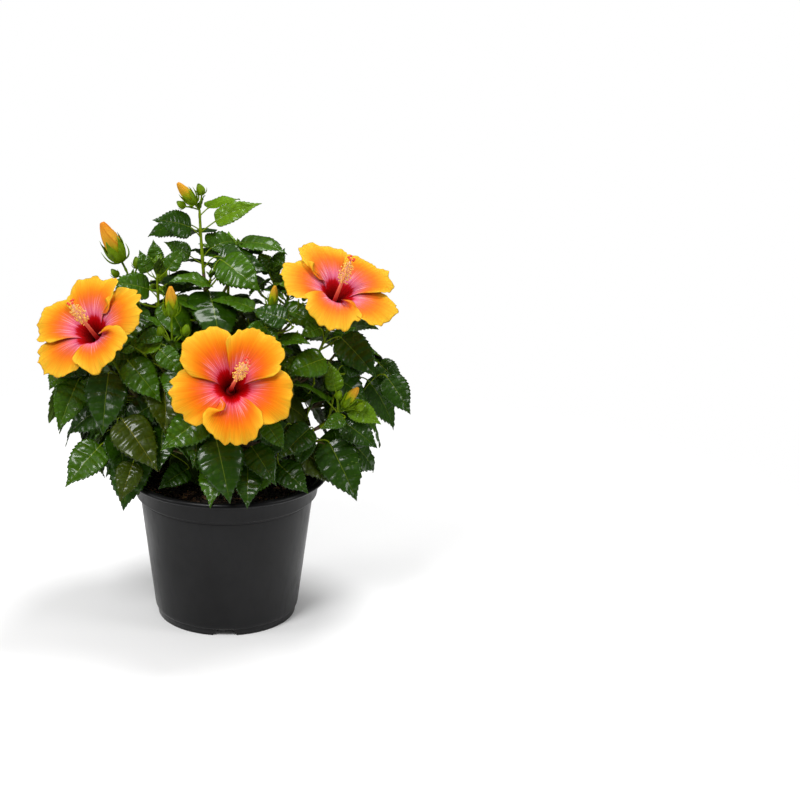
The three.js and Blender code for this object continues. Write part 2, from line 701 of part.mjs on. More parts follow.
// A leaf at a place on a twig: the stalk goes out and up, and the blade hangs from its end.
function leafAt(twig, share, turn, length, droop, twist) {
  const root = pointOn(twig.curve, share);
  const along = wayOf(twig.curve, share);
  const out = V(Math.cos(turn), Math.sin(turn), 0);
  const aside = out.clone().addScaledVector(along, -out.dot(along));
  if (aside.length() < STEEP) aside.copy(UP).addScaledVector(along, -UP.dot(along));
  aside.normalize();
  const stalkWay = aside.multiplyScalar(STALK_OUT).addScaledVector(along, STALK_ALONG).normalize();
  const foot = root.clone().addScaledVector(stalkWay, length * STALK_SHARE + STALK_LEAST);
  const way = out.clone().multiplyScalar(Math.cos(droop)).addScaledVector(UP, -Math.sin(droop));
  const face = out.clone().multiplyScalar(Math.sin(droop)).addScaledVector(UP, Math.cos(droop));
  face.applyAxisAngle(way, twist);
  return { root, foot, way, face, length, twig };
}

// A leaf whose blade runs from a given foot to a given tip. Its stalk comes from the nearest twig.
function leafFrom(twigs, foot, tip, faces = LAID_FACE) {
  const low = foot.clone().addScaledVector(UP, -LAID_ROOT_BELOW);
  let best = null;
  for (const twig of twigs) {
    for (let i = 1; i < LAID_ROOT_STEPS; i += 1) {
      const root = pointOn(twig.curve, mix(twig.from, twig.to, i / LAID_ROOT_STEPS));
      const far = root.distanceTo(low);
      if (best === null || far < best.far) best = { twig, root, far };
    }
  }
  const along = tip.clone().sub(foot);
  const half = (LEAF_BEND * DEGREE) / 2;
  const length = (along.length() * half) / Math.sin(half);
  along.normalize();
  const up = faces.clone().addScaledVector(along, -faces.dot(along)).normalize();
  const way = along.clone().multiplyScalar(Math.cos(half)).addScaledVector(up, Math.sin(half));
  const face = up.clone().multiplyScalar(Math.cos(half)).addScaledVector(along, -Math.sin(half));
  return { root: best.root, foot, way, face, length, twig: best.twig };
}

// Lays a mass's given leaves. One without room is moved nearer to the viewer or farther off.
function laidLeaves(mass) {
  const leaves = [];
  for (const [foot, tip, faces] of mass.laid ?? []) {
    for (let k = 0; k < TRIES; k += 1) {
      const shift = (k % 2 ? 1 : -1) * Math.ceil(k / 2) * TRY_STEP;
      const moved = [foot, tip].map((point) => point.clone().addScaledVector(SEEN_FROM, shift));
      const leaf = leafFrom(mass.twigs, ...moved, faces);
      const room = roomFor(leaf, mayLie);
      if (room) {
        nets.push(room.net);
        rods.push(...room.stalk.map((rod) => ({ ...rod, twig: leaf.twig })));
        leaves.push(leaf);
        break;
      }
    }
  }
  return leaves;
}

// Puts leaves down a twig from its tip, spread over the side that looks out of the crown. One without room
// is turned, lifted or made smaller, and left out if that fails.
function leavesOn(twig, random) {
  const leaves = [];
  const { at, first, old } = twig.tip;
  const outward = Math.atan2(at.y, at.x) / DEGREE;
  const spread = Math.hypot(at.x, at.y) < AROUND_RADIUS ? 180 : LEAF_SPREAD;
  const around = ((first - outward + 540) % 360) - 180;
  const start = (around / spread + 3) / 2;
  const reach = twig.curve.getLength() * (twig.to - twig.from);
  const count = Math.floor((reach * (1 - twig.bare)) / LEAF_SPACING);
  for (let i = 0; i < count; i += 1) {
    const down = (i + 0.4) * LEAF_SPACING;
    const share = mix(twig.to, twig.from, down / reach);
    const usual = mix(LEAF_SHORT, LEAF_LONG, old ? 1 : within(down / LEAF_GROWS_OVER));
    const size = usual * mix(...LEAF_SIZES, random());
    const height = within((pointOn(twig.curve, share).z - CROWN_FOOT) / (CROWN_TOP - CROWN_FOOT));
    const grown = old ? 1 : within(down / YOUNG_OVER);
    const usualDroop = mix(YOUNG_DROOP, mix(LOW_DROOP, HIGH_DROOP, height), grown);
    const droop = usualDroop + mix(-DROOP_STRAYS, DROOP_STRAYS, random());
    const place = (start + GOLDEN * i) % 1;
    const turn = outward + spread * (2 * place - 1) + mix(-TURN_STRAYS, TURN_STRAYS, random());
    const facing = FACING_TWIST * Math.cos(turn * DEGREE) * Math.max(-1, Math.min(1, -at.y / FACING_OVER));
    const twist = facing + mix(-TWIST_STRAYS, TWIST_STRAYS, random());
    for (let k = 0; k < TRIES; k += 1) {
      const aside = (k % 2 ? 1 : -1) * Math.ceil(k / 2);
      const leaf = leafAt(
        twig, share, (turn + aside * TRY_TURN) * DEGREE, size * TRY_SIZE ** k,
        (droop + ((k % 3) - 1) * k) * DEGREE, (twist + aside * TRY_TWIST) * DEGREE,
      );
      const room = roomFor(leaf, mayGrow);
      if (room) {
        nets.push(room.net);
        rods.push(...room.stalk.map((rod) => ({ ...rod, twig })));
        leaves.push(leaf);
        break;
      }
    }
  }
  return leaves;
}

// A closed bud: a stalk to a pointed body.
function budSolid({ from, foot, tip, width }) {
  const length = tip.distanceTo(foot);
  const body = new THREE.SphereGeometry(1, 5, 3);
  body.rotateX(Math.PI / 2);
  const place = body.attributes.position;
  const turn = new THREE.Quaternion().setFromUnitVectors(UP, tip.clone().sub(foot).normalize());
  for (let i = 0; i < place.count; i += 1) {
    const up = (place.getZ(i) + 1) / 2;
    const radius = width * mix(BUD_FOOT_WIDE, BUD_TIP_WIDE, up);
    const point = V(place.getX(i) * radius, place.getY(i) * radius, up * length);
    point.applyQuaternion(turn).add(foot);
    place.setXYZ(i, point.x, point.y, point.z);
  }
  return solid(body).add(limb(budStalk(from, foot, tip), 0, 1, taper(TIP_RADIUS, TIP_RADIUS), 3, 2));
}

function budStalk(from, foot, tip) {
  const into = foot.clone().lerp(tip, 0.12);
  const bend = from.clone().lerp(foot, 0.6).addScaledVector(UP, from.distanceTo(foot) * 0.12);
  return new THREE.QuadraticBezierCurve3(from, bend, into);
}

// A tip's buds: one long one, and two short ones that stand beside its foot.
function budsOf(tip) {
  const way = tip.bud.clone().sub(tip.at).normalize();
  const foot = tip.bud.clone().addScaledVector(way, -tip.budSize);
  const buds = [{ from: tip.at, foot, tip: tip.bud, width: tip.budSize * BUD_WIDTH }];
  const side = V(way.z, 0, -way.x).normalize();
  for (const { lean, length } of SMALL_BUDS) {
    const small = tip.at.clone()
      .addScaledVector(side, lean * SMALL_BUD_ASIDE)
      .addScaledVector(way, SMALL_BUD_AHEAD);
    const end = small.clone().addScaledVector(way, length * 0.9).addScaledVector(side, lean * 4);
    buds.push({ from: tip.at, foot: small, tip: end, width: length * SMALL_BUD_WIDTH });
  }
  return buds;
}

// A ring of small upright leaves round a tip.
function rosetteOf(tip, twig) {
  const leaves = [];
  for (let i = 0; i < ROSETTE_LEAVES; i += 1) {
    const turn = (tip.first + (360 / ROSETTE_LEAVES) * i) * DEGREE;
    const length = ROSETTE_LONG - ROSETTE_LESS * i;
    leaves.push(leafAt(twig, mix(twig.to, twig.from, 0.02 * i), turn, length, ROSETTE_DROOP * DEGREE, 0));
  }
  return leaves;
}

// The stem and twigs of a mass, as curves with the part of each that belongs to the mass.
function twigsOf(mass) {
  const start = trunkCurve.getPoint(within((mass.from - SOIL_TOP) / (TRUNK_TOP.z - SOIL_TOP)));
  const main = risingCurve(start, mass.tips[0].at);
  const stem = {
    curve: main,
    from: BOUGH_SHARE,
    to: 1,
    wide: STEM_RADIUS,
    slim: TIP_RADIUS,
    tip: mass.tips[0],
    bare: BARE_STEM,
  };
  const twigs = [stem];
  mass.tips.slice(1).forEach((tip, i) => {
    const root = pointOn(main, mix(BOUGH_SHARE, 1, FORK_FIRST + FORK_STEP * i));
    twigs.push({
      curve: risingCurve(root, tip.at),
      from: 0,
      to: 1,
      wide: TWIG_RADIUS,
      slim: TIP_RADIUS,
      tip,
      bare: BARE_TWIG,
    });
  });
  return { twigs, bough: main };
}

const TRUNK_FOOT = V(0, 0, SOIL_TOP + GAP);
const trunkCurve = new THREE.QuadraticBezierCurve3(
  TRUNK_FOOT,
  V(0, 0, mix(SOIL_TOP, TRUNK_TOP.z, 0.5)),
  TRUNK_TOP,
);
const trunkRadius = (extra) => (along) =>
  mix(TRUNK_RADIUS, TRUNK_TIP_RADIUS, along) + ROOT_FLARE * Math.max(0, 1 - along / FLARE_SHARE) ** 2 + extra;
const trunk = () => limb(trunkCurve, 0, 1, trunkRadius(0), TRUNK_SIDES, TRUNK_STEPS);

// The trunk with its skin moved out by the gap, to cut the boughs clear of it.
const trunkWithGap = () =>
  limb(trunkCurve, 0, 1 + GAP / (TRUNK_TOP.z - SOIL_TOP), trunkRadius(GAP), TRUNK_SIDES, TRUNK_STEPS);

// A bloom's own axes: where it faces, and two ways across.
function bloomAxes(bloom) {
  const face = bloom.faces.clone().normalize();
  const first = RIGHT.clone().addScaledVector(face, -RIGHT.dot(face)).normalize();
  return { face, first, second: face.clone().cross(first) };
}

// A petal's middle surface: out runs from the throat to the edge and side from -1 to 1.
function petalPoint(bloom, petal, out, side) {
  const { face, first, second } = bloomAxes(bloom);
  const half = mix(PETAL_FOOT_SPREAD, 1, smooth(out * 1.8)) * PETAL_HALF_ANGLE;
  const turn = (bloom.spin + 90 + (360 / PETALS) * petal + half * side) * DEGREE;
  const edge = bloom.radius * (1 - PETAL_CORNER * Math.abs(side) ** 2.4);
  const radius = mix(THROAT_RADIUS, edge, out);
  const curl = Math.max(0, radius - CURL_FROM) / CURL_OVER;
  const ruffle = RUFFLE * out ** 4 * Math.sin(side * RUFFLE_TURNS + petal * RUFFLE_SHIFTS);
  const height =
    FUNNEL_DEPTH * (1 - Math.exp(-(radius - THROAT_RADIUS) / FUNNEL_OPENS_OVER)) - CURL_DEPTH * curl ** 2 +
    PETAL_LIFT * side * smooth((out - 0.1) * 2.2) + ruffle;
  return bloom.throat.clone()
    .addScaledVector(first, radius * Math.cos(turn))
    .addScaledVector(second, radius * Math.sin(turn))
    .addScaledVector(face, height);
}

// A thin curved plate over a surface given by two shares.
function plate(surface, across, along, thick) {
  const points = [];
  const index = [];
  const step = 1e-3;
  for (const lift of [thick / 2, -thick / 2]) {
    for (let i = 0; i <= along; i += 1) {
      for (let j = 0; j <= across; j += 1) {
        const out = i / along;
        const side = (2 * j) / across - 1;
        const point = surface(out, side);
        const ahead = surface(out + step, side).sub(point);
        const beside = surface(out, side + step).sub(point);
        const normal = ahead.cross(beside).normalize();
        points.push(point.addScaledVector(normal, lift));
      }
    }
  }
  const layer = (along + 1) * (across + 1);
  const at = (i, j, side) => side * layer + i * (across + 1) + j;
  const quad = (a, b, c, d) => index.push(a, b, c, a, c, d);
  for (let i = 0; i < along; i += 1) {
    for (let j = 0; j < across; j += 1) {
      quad(at(i, j, 0), at(i + 1, j, 0), at(i + 1, j + 1, 0), at(i, j + 1, 0));
      quad(at(i, j, 1), at(i, j + 1, 1), at(i + 1, j + 1, 1), at(i + 1, j, 1));
    }
    quad(at(i, 0, 0), at(i, 0, 1), at(i + 1, 0, 1), at(i + 1, 0, 0));
    quad(at(i, across, 0), at(i + 1, across, 0), at(i + 1, across, 1), at(i, across, 1));
  }
  for (let j = 0; j < across; j += 1) {
    quad(at(0, j, 0), at(0, j + 1, 0), at(0, j + 1, 1), at(0, j, 1));
    quad(at(along, j, 0), at(along, j, 1), at(along, j + 1, 1), at(along, j + 1, 0));
  }
  const geometry = new THREE.BufferGeometry().setFromPoints(points);
  geometry.setIndex(index);
  return solid(geometry);
}

// A bloom's stalk goes on from the tip of its mass's main stem, the gap away from it.
function stalkOfBloom(bloom) {
  const { curve } = layout.find(({ name }) => name === bloom.on).twigs[0];
  const way = wayOf(curve, 1);
  const start = curve.v2.clone().addScaledVector(way, GAP);
  const foot = bloom.throat.clone().addScaledVector(bloomAxes(bloom).face, -CALYX_DEPTH);
  const bend = start.clone().addScaledVector(way, start.distanceTo(foot) * 0.45);
  return new THREE.QuadraticBezierCurve3(start, bend, foot);
}

// An open bloom: five overlapping petals, the calyx under them, the column that leans out, and its stalk.
function bloomSolid(bloom) {
  const { throat } = bloom;
  const { face } = bloomAxes(bloom);
  const ahead = (length) => throat.clone().addScaledVector(face, length);
  const column = new THREE.QuadraticBezierCurve3(
    ahead(-6),
    ahead(COLUMN_LENGTH * 0.45),
    throat.clone().addScaledVector(bloom.column.clone().normalize(), COLUMN_LENGTH),
  );
  const calyx = new THREE.QuadraticBezierCurve3(ahead(-CALYX_DEPTH - 1), ahead(-CALYX_DEPTH / 2), ahead(6));
  const pieces = [
    limb(calyx, 0, 1, taper(CALYX_FOOT_RADIUS, CALYX_MOUTH_RADIUS), 8, 1),
    limb(column, 0, 1, taper(COLUMN_RADIUS, COLUMN_TIP_RADIUS), 5, 5),
    limb(column, ANTHERS_FROM, ANTHERS_TO, (along) => ANTHERS_RADIUS - 4 * Math.abs(along - 0.4), 6, 3),
    limb(stalkOfBloom(bloom), 0, 1, taper(TIP_RADIUS, TIP_RADIUS + 0.5), 5, 4),
  ];
  for (let petal = 0; petal < PETALS; petal += 1) {
    const surface = (out, side) => petalPoint(bloom, petal, out, side);
    pieces.push(plate(surface, PETAL_ACROSS, PETAL_ALONG, PETAL_THICK));
  }
  return joined(pieces);
}

// The petals as nets, for the test of what has room.
function bloomNets(bloom) {
  const made = [];
  for (let petal = 0; petal < PETALS; petal += 1) {
    const corners = [];
    const faces = [];
    for (let i = 0; i <= PETAL_NET_ALONG; i += 1) {
      for (let j = 0; j <= PETAL_ACROSS; j += 1) {
        corners.push(petalPoint(bloom, petal, i / PETAL_NET_ALONG, (2 * j) / PETAL_ACROSS - 1));
        if (i < PETAL_NET_ALONG && j < PETAL_ACROSS) {
          const at = i * (PETAL_ACROSS + 1) + j;
          const above = at + PETAL_ACROSS + 1;
          faces.push([at, above, above + 1], [at, above + 1, at + 1]);
        }
      }
    }
    made.push(netOf(corners, faces, corners));
  }
  return made;
}

// All limbs are laid out before any leaf, so that leaves can keep clear of them.
const layout = MASSES.map((mass) => ({ ...mass, ...twigsOf(mass) }));

function layLimbs() {
  rods.push(...rodsOf(trunkCurve, 0, 1, TRUNK_RADIUS, TRUNK_TIP_RADIUS, 4));
  for (const mass of layout) {
    rods.push(...rodsOf(mass.bough, 0.06, BOUGH_SHARE, BOUGH_RADIUS, STEM_RADIUS, 4));
    for (const twig of mass.twigs) {
      const laid = rodsOf(twig.curve, twig.from, twig.to, twig.wide, twig.slim, 5);
      rods.push(...laid.map((rod) => ({ ...rod, twig })));
      twig.buds = twig.tip.bears === "buds" ? budsOf(twig.tip) : [];
      for (const { from, foot, tip, width } of twig.buds) {
        rods.push(...rodsOf(budStalk(from, foot, tip), 0.1, 1, TIP_RADIUS, TIP_RADIUS, 3));
        rods.push({ a: foot, b: tip, radius: width });
      }
    }
  }
}

function layBlooms() {
  for (const bloom of BLOOMS) {
    const { face } = bloomAxes(bloom);
    const [a, b] = [-CALYX_DEPTH, 4].map((ahead) => bloom.throat.clone().addScaledVector(face, ahead));
    nets.push(...bloomNets(bloom));
    rods.push(...rodsOf(stalkOfBloom(bloom), 0.1, 1, 2, 4, 4), { a, b, radius: 8.5 });
  }
}

function layLeaves() {
  const twigs = layout.flatMap((mass) => mass.twigs);
  for (const mass of layout) {
    mass.leaves = laidLeaves(mass);
  }
  for (const leaf of layout.flatMap((mass) => mass.leaves)) {
    inView.push(...leafNetOf(leaf).triangles);
  }
  for (const twig of twigs) {
    const ring = twig.tip.bears === "rosette" ? rosetteOf(twig.tip, twig) : [];
    twig.rosette = ring.filter((leaf) => roomFor(leaf, mayGrow));
    nets.push(...twig.rosette.map(leafNetOf));
  }
  twigs.forEach((twig, i) => {
    twig.leaves = leavesOn(twig, numbers(SEED + i * SEED_STEP));
  });
}

// The stem starts the gap away from its bough's tip, and everything else grows on it.
function massSolid(mass) {
  const pieces = mass.twigs.flatMap((twig, i) => {
    const from = i === 0 ? twig.from + GAP / twig.curve.getLength() : twig.from;
    return [
      limb(twig.curve, from, twig.to, taper(twig.wide, twig.slim), TWIG_SIDES, LIMB_STEPS),
      ...twig.buds.map(budSolid),
      ...twig.rosette.map(leafSolid),
      ...twig.leaves.map(leafSolid),
    ];
  });
  return joined([...pieces, ...mass.leaves.map(leafSolid)]);
}

layLimbs();
layBlooms();
layLeaves();

const plant = new THREE.Group();
plant.add(meshOf("pot", pot(), potBlack));
plant.add(meshOf("soil", soil(), compostBrown));
plant.add(meshOf("trunk", trunk(), barkBrown));
for (const mass of layout) {
  const bough = limb(mass.bough, 0, BOUGH_SHARE, taper(BOUGH_RADIUS, STEM_RADIUS), BOUGH_SIDES, LIMB_STEPS);
  plant.add(meshOf(`bough_${mass.name}`, bough.subtract(trunkWithGap()), barkBrown));
  plant.add(meshOf(`mass_${mass.name}`, massSolid(mass), leafGreen));
}
for (const bloom of BLOOMS) {
  plant.add(meshOf(bloom.name, bloomSolid(bloom), petalOrange));
}
export default plant;
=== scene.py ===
"""The looks of a hibiscus shrub in its nursery pot: leaves, blooms, buds, bark, compost and plastic."""

import functools
import itertools
import math

import bpy
import numpy as np
from mathutils import Matrix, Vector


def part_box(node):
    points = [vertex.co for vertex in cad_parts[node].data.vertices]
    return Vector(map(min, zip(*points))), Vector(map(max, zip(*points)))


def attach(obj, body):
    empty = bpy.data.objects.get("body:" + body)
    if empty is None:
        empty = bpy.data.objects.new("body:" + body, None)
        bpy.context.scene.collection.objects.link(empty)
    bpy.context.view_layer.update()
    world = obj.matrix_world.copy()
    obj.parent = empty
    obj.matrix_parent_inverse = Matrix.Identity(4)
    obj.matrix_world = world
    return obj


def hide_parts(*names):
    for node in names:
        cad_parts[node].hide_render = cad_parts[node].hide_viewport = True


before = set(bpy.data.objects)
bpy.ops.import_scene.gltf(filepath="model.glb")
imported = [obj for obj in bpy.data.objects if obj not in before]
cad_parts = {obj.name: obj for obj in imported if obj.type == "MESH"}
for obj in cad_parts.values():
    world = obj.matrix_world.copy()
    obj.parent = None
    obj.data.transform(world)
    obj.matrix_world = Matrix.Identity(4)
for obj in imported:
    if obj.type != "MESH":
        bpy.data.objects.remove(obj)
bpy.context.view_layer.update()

bl_info = {
    "name": "Potted hibiscus shrub",
    "version": (1, 0, 0),
    "blender": (4, 5, 0),
    "location": "View3D > Sidebar > Shrub",
    "description": "Grows the leaves, blooms, buds, bark, compost and pot of a hibiscus shrub round its solids",
    "category": "Add Mesh",
}

BODY = "root"
METRE = 0.001  # all sizes below are in millimetres
GAP = 0.3
TURN = 2 * math.pi
UP = np.array((0.0, 0.0, 1.0))
RIGHT = np.array((1.0, 0.0, 0.0))
BACK = np.array((0.0, 1.0, 0.0))

# The pot, with its height and rim read from the solids
POT_HEIGHT = round(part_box("pot")[1].z / METRE, 2)
LIP_RADIUS = round(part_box("pot")[1].x / METRE, 2)
LIP_INNER_RADIUS = 118
LIP_DEPTH = 7
COLLAR_RADIUS = 116
COLLAR_DEPTH = 31
BODY_TOP_RADIUS = 108.7
BODY_FOOT_RADIUS = 91
FOOT_RADIUS = 87.6
FOOT_HEIGHT = 9.5
WALL = 2.4
NOTCHES = 3
NOTCH_TURN = math.radians(-91.9)
NOTCH_WIDTH_TOP = 18
NOTCH_WIDTH_FOOT = 31

# The compost
SOIL_TOP = round(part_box("soil")[1].z / METRE, 2)
SOIL_RADIUS = 105.8

# The trunk
TRUNK_TOP = np.array((-5.0, 5.0, 288.0))
TRUNK_RADIUS = 9
TRUNK_TIP_RADIUS = 6
ROOT_FLARE = 6
FLARE_SHARE = 0.12

# Limbs, twigs and leaf stalks, by the rule that the solids follow
BOUGH_RADIUS = 4
STEM_RADIUS = 2.7
TWIG_RADIUS = 1.9
TIP_RADIUS = 1.5
STALK_RADIUS = 0.9
BOUGH_SHARE = 0.42
FORK_FIRST = 0.16
FORK_STEP = 0.2
BARE_STEM = 0.06
BARE_TWIG = 0.1
CURVE_OUT = 0.8
CURVE_UP = 0.38

# Leaves, by the same rule
LEAF_LONG = 96
LEAF_SHORT = 54
LEAF_GROWS_OVER = 70
LEAF_SPACING = 15
LEAF_WIDTH = 0.34
LEAF_FOOT_POWER = 0.5
LEAF_TIP_POWER = 1.08
LEAF_WIDEST = 0.376
LEAF_SPREAD = 125
GOLDEN = 0.618
AROUND_RADIUS = 45
LEAF_SIZES = (0.84, 1.02)
DROOP_STRAYS = 7
TURN_STRAYS = 10
TWIST_STRAYS = 12
FACING_TWIST = 42
FACING_OVER = 50
LEAF_BEND = math.radians(34)
LEAF_FOLD = math.radians(13)
STALK_SHARE = 0.24
STALK_LEAST = 3
STALK_OUT = 0.86
STALK_ALONG = 0.5
STALK_FOOT = 5
STEEP = 0.35
LOW_DROOP = 44
HIGH_DROOP = 6
YOUNG_DROOP = -22
YOUNG_OVER = 50
CROWN_FOOT = 190
CROWN_TOP = 545
CLEAR = 1.8
CROWN_RADII = np.array((238.0, 182.0, 245.0))
CROWN_MIDDLE = np.array((0.0, 0.0, 335.0))
TRIES = 24
TRY_TURN = 9
TRY_TWIST = 3
TRY_SIZE = 0.99
TRY_STEP = 2
SEED = 101
SEED_STEP = 977
LOW_SHARE = 0.15
MIDDLE_SHARE = 0.42
HIGH_SHARE = 0.56

# Rosettes and buds, by the same rule
ROSETTE_LEAVES = 4
ROSETTE_LONG = 38
ROSETTE_LESS = 3
ROSETTE_DROOP = -55
BUD_WIDTH = 0.2
SMALL_BUDS = ((1, 17), (-0.8, 14))
SMALL_BUD_ASIDE = 15
SMALL_BUD_AHEAD = 14
SMALL_BUD_WIDTH = 0.24

# Blooms, by the same rule
THROAT_RADIUS = 5
FUNNEL_DEPTH = 34
FUNNEL_OPENS_OVER = 15
PETALS = 5
PETAL_HALF_ANGLE = 45
PETAL_LIFT = 3.2
PETAL_FOOT_SPREAD = 0.62
PETAL_CORNER = 0.2
CURL_FROM = 46
CURL_OVER = 30
CURL_DEPTH = 5
RUFFLE = 2.6
RUFFLE_TURNS = 6
RUFFLE_SHIFTS = 2.1
COLUMN_LENGTH = 74
CALYX_DEPTH = 20
BLOOM_CLEAR_RADIUS = 62
SEEN_FROM = np.array((0.0, -0.95, 0.315))

# Laid leaves and open places, by the same rule
LAID_FACE = (0, -0.8, 0.6)
LEVEL = (0, -0.15, 1)
LAID_ROOT_BELOW = 12
LAID_ROOT_STEPS = 24
HIDDEN_WITHIN = 120
CLEARINGS = np.array((
    (-43, 10, 450, 9), (-33, 0, 418, 8), (-10, 0, 430, 10), (13, 0, 434, 10), (110, -20, 354, 10),
    (83, -20, 380, 8), (129, -20, 348, 9), (106, -40, 276, 8), (-131, -30, 309, 8),
), float)

# Laid leaves that are bright, by their number in the list of their mass, with their breadth
FRESH = {"leader": {1: 0.62}, "low_right": {4: 0.9, 6: 0.9}}
GROWN_AGE = 0.5

# Finer twigs, which only this file grows
SPUR_LENGTHS = (24, 44)
SPURS_A_TWIG = 4
OPEN_ABOVE = 400  # masses that end higher carry half as many spurs
SPUR_CLEAR = 0.7
SPUR_TRIES = 9
SPUR_SEED = 5011
SPUR_LEAF_SPACING = 11

# The camera's place and aim, and where the aim falls in a picture 800 wide
CAMERA_PLACE = (0.0, -2200.0, 1015.0)
CAMERA_AIM = (0.0, 0.0, 285.0)
AIM_ACROSS = 227.0
AIM_DOWN = 396.9
PICTURE = 800.0
FOCUS = 1854.5
SENSOR = 36.0

# The floor, what the lights shine on, and the share of the sky that is mirrored, in metres
FLOOR_REACH = 5.0
FLOOR_FADE = (0.3, 1.0)
LIGHTS_AIM = np.array((0.0, 0.0, 0.3))
MIRRORED_SKY = 0.1


# Each mass, the height at which its bough leaves the trunk, and the tips of its twigs: their place, where the
# first leaf points, the kind of tip if it isn't a plain young one, and for buds the long one's tip and length
MASSES = (
    ("leader", 286, ((-33, 8, 520, 10, "buds", (-59, 0, 555), 34), (14, 20, 468, 0), (-20, -14, 440, -60))),
    ("upper_left", 268, (
        (-116, 12, 428, 200, "buds", (-150, 5, 505), 54), (-84, -10, 444, 160, "rosette"), (-58, -14, 398, -90),
    )),
    ("left_bloom_spray", 238, (
        (-124, -46, 322, 197, "old"), (-92, -60, 326, 211, "old"), (-160, -6, 330, 175),
    )),
    ("front_left", 250, ((-65, -70, 372, 190, "buds", (-66, -78, 448), 37), (-100, -36, 376, 190))),
    ("front_bloom_spray", 228, ((2, -72, 300, -160), (-44, -56, 286, 227, "old"), (52, -76, 300, -57, "old"))),
    ("front_right", 260, ((50, -52, 388, 0, "buds", (57, -58, 444), 28), (84, -70, 332, -60, "old"))),
    ("upper_right", 278, ((58, 14, 430, 120, "rosette"), (94, 18, 402, 30))),
    ("right_bloom_spray", 250, ((119, -30, 370, -20), (140, 2, 352, 0, "old"), (112, -52, 338, -80))),
    ("low_right", 218, (
        (136, -66, 288, -20, "buds", (158, -75, 322), 31), (104, -62, 248, -30, "old"),
        (142, -30, 290, -16, "old"),
    )),
    ("low_left", 212, ((-134, -50, 258, 200, "old"), (-82, -76, 254, 222, "old"), (-152, -8, 266, 180, "old"))),
    ("low_front", 204, ((4, -78, 262, -88, "old"), (34, -88, 244, -76, "old"), (74, -80, 246, -48, "old"))),
    ("right_side", 226, ((162, 18, 318, 4, "old"), (168, 0, 290, 0, "old"), (132, 84, 276, 35, "old"))),
    ("left_side", 222, ((-150, 40, 318, 165, "old"), (-146, 26, 266, 170, "old"), (-114, 86, 270, 145, "old"))),
    ("back_left", 234, (
        (-76, 92, 388, 110, "buds", (-88, 106, 438), 32), (-94, 100, 312, 130, "old"), (-120, 60, 366, 160),
    )),
    ("back_right", 240, ((78, 84, 394, 50, "rosette"), (92, 100, 308, 50, "old"), (124, 56, 362, 20))),
    ("back_low", 208, ((2, 118, 284, 90, "old"), (-50, 112, 258, 115, "old"), (54, 112, 256, 65, "old"))),
    ("back_top", 274, ((2, 72, 440, 90, "rosette"), (-22, 110, 362, 110), (34, 112, 344, 60))),
)

# The foot of each laid leaf's blade, its tip, and where it faces if that is not as usual
LAID = {
    "leader": (
        (-43, 0, 500, -87, -22, 516), (-14, 4, 507, 41, -6, 534), (15, 26, 475, 75, 10, 470, LEVEL),
        (-12, 6, 463, 50, -6, 446), (-7, -4, 461, 41, -34, 429), (-19, 0, 426, -69, -16, 439, LEVEL),
        (-45, 16, 461, -76, 6, 481),
    ),
    "upper_left": (
        (-94, -5, 424, -140, -24, 439), (-71, -20, 453, -52, -12, 477), (-85, 0, 454, -89, 8, 483),
        (-95, -16, 448, -105, -12, 475),
    ),
    "left_bloom_spray": (
        (-141, -60, 335, -149, -84, 262), (-180, -26, 315, -204, -44, 256), (-117, -70, 353, -78, -90, 307),
    ),
    "front_left": (
        (-52, -84, 405, 0, -70, 424, LEVEL), (-78, -74, 399, -106, -78, 413, LEVEL),
        (-77, -82, 391, -109, -88, 384), (-79, -86, 372, -51, -98, 345),
    ),
    "front_bloom_spray": (
        (-25, -92, 291, -79, -122, 258), (47, -92, 281, 68, -112, 256),
    ),
    "front_right": (
        (33, -62, 416, -21, -50, 426, LEVEL), (45, -74, 397, 18, -86, 393), (47, -76, 395, 61, -90, 382),
        (56, -56, 410, 83, -62, 406, LEVEL),
    ),
    "upper_right": (
        (58, 18, 445, 71, 24, 470), (52, 2, 444, 40, -2, 467),
    ),
    "right_bloom_spray": (
        (139, -22, 369, 182, -46, 324), (118, -58, 353, 67, -78, 337), (112, -40, 386, 86, -58, 379),
    ),
    "low_right": (
        (100, -86, 274, 61, -112, 244), (96, -70, 258, 86, -92, 225), (124, -60, 247, 159, -90, 180),
        (142, -54, 271, 184, -66, 240), (148, -76, 299, 188, -84, 277), (141, -86, 287, 112, -98, 277),
        (132, -68, 315, 123, -56, 350), (121, -74, 304, 76, -88, 332, LEVEL),
    ),
    "low_left": (
        (-153, -54, 241, -195, -80, 196), (-125, -84, 285, -82, -114, 228), (-112, -92, 233, -127, -114, 190),
        (-48, -60, 212, -83, -84, 196),
    ),
    "low_front": (
        (-13, -108, 268, 4, -142, 198), (25, -98, 231, 24, -138, 191), (29, -92, 253, 59, -126, 215),
        (63, -86, 227, 98, -112, 198),
    ),
    "right_side": (
        (187, -6, 332, 218, -16, 301), (196, -34, 322, 227, -44, 276), (197, -30, 321, 136, -20, 343),
    ),
}

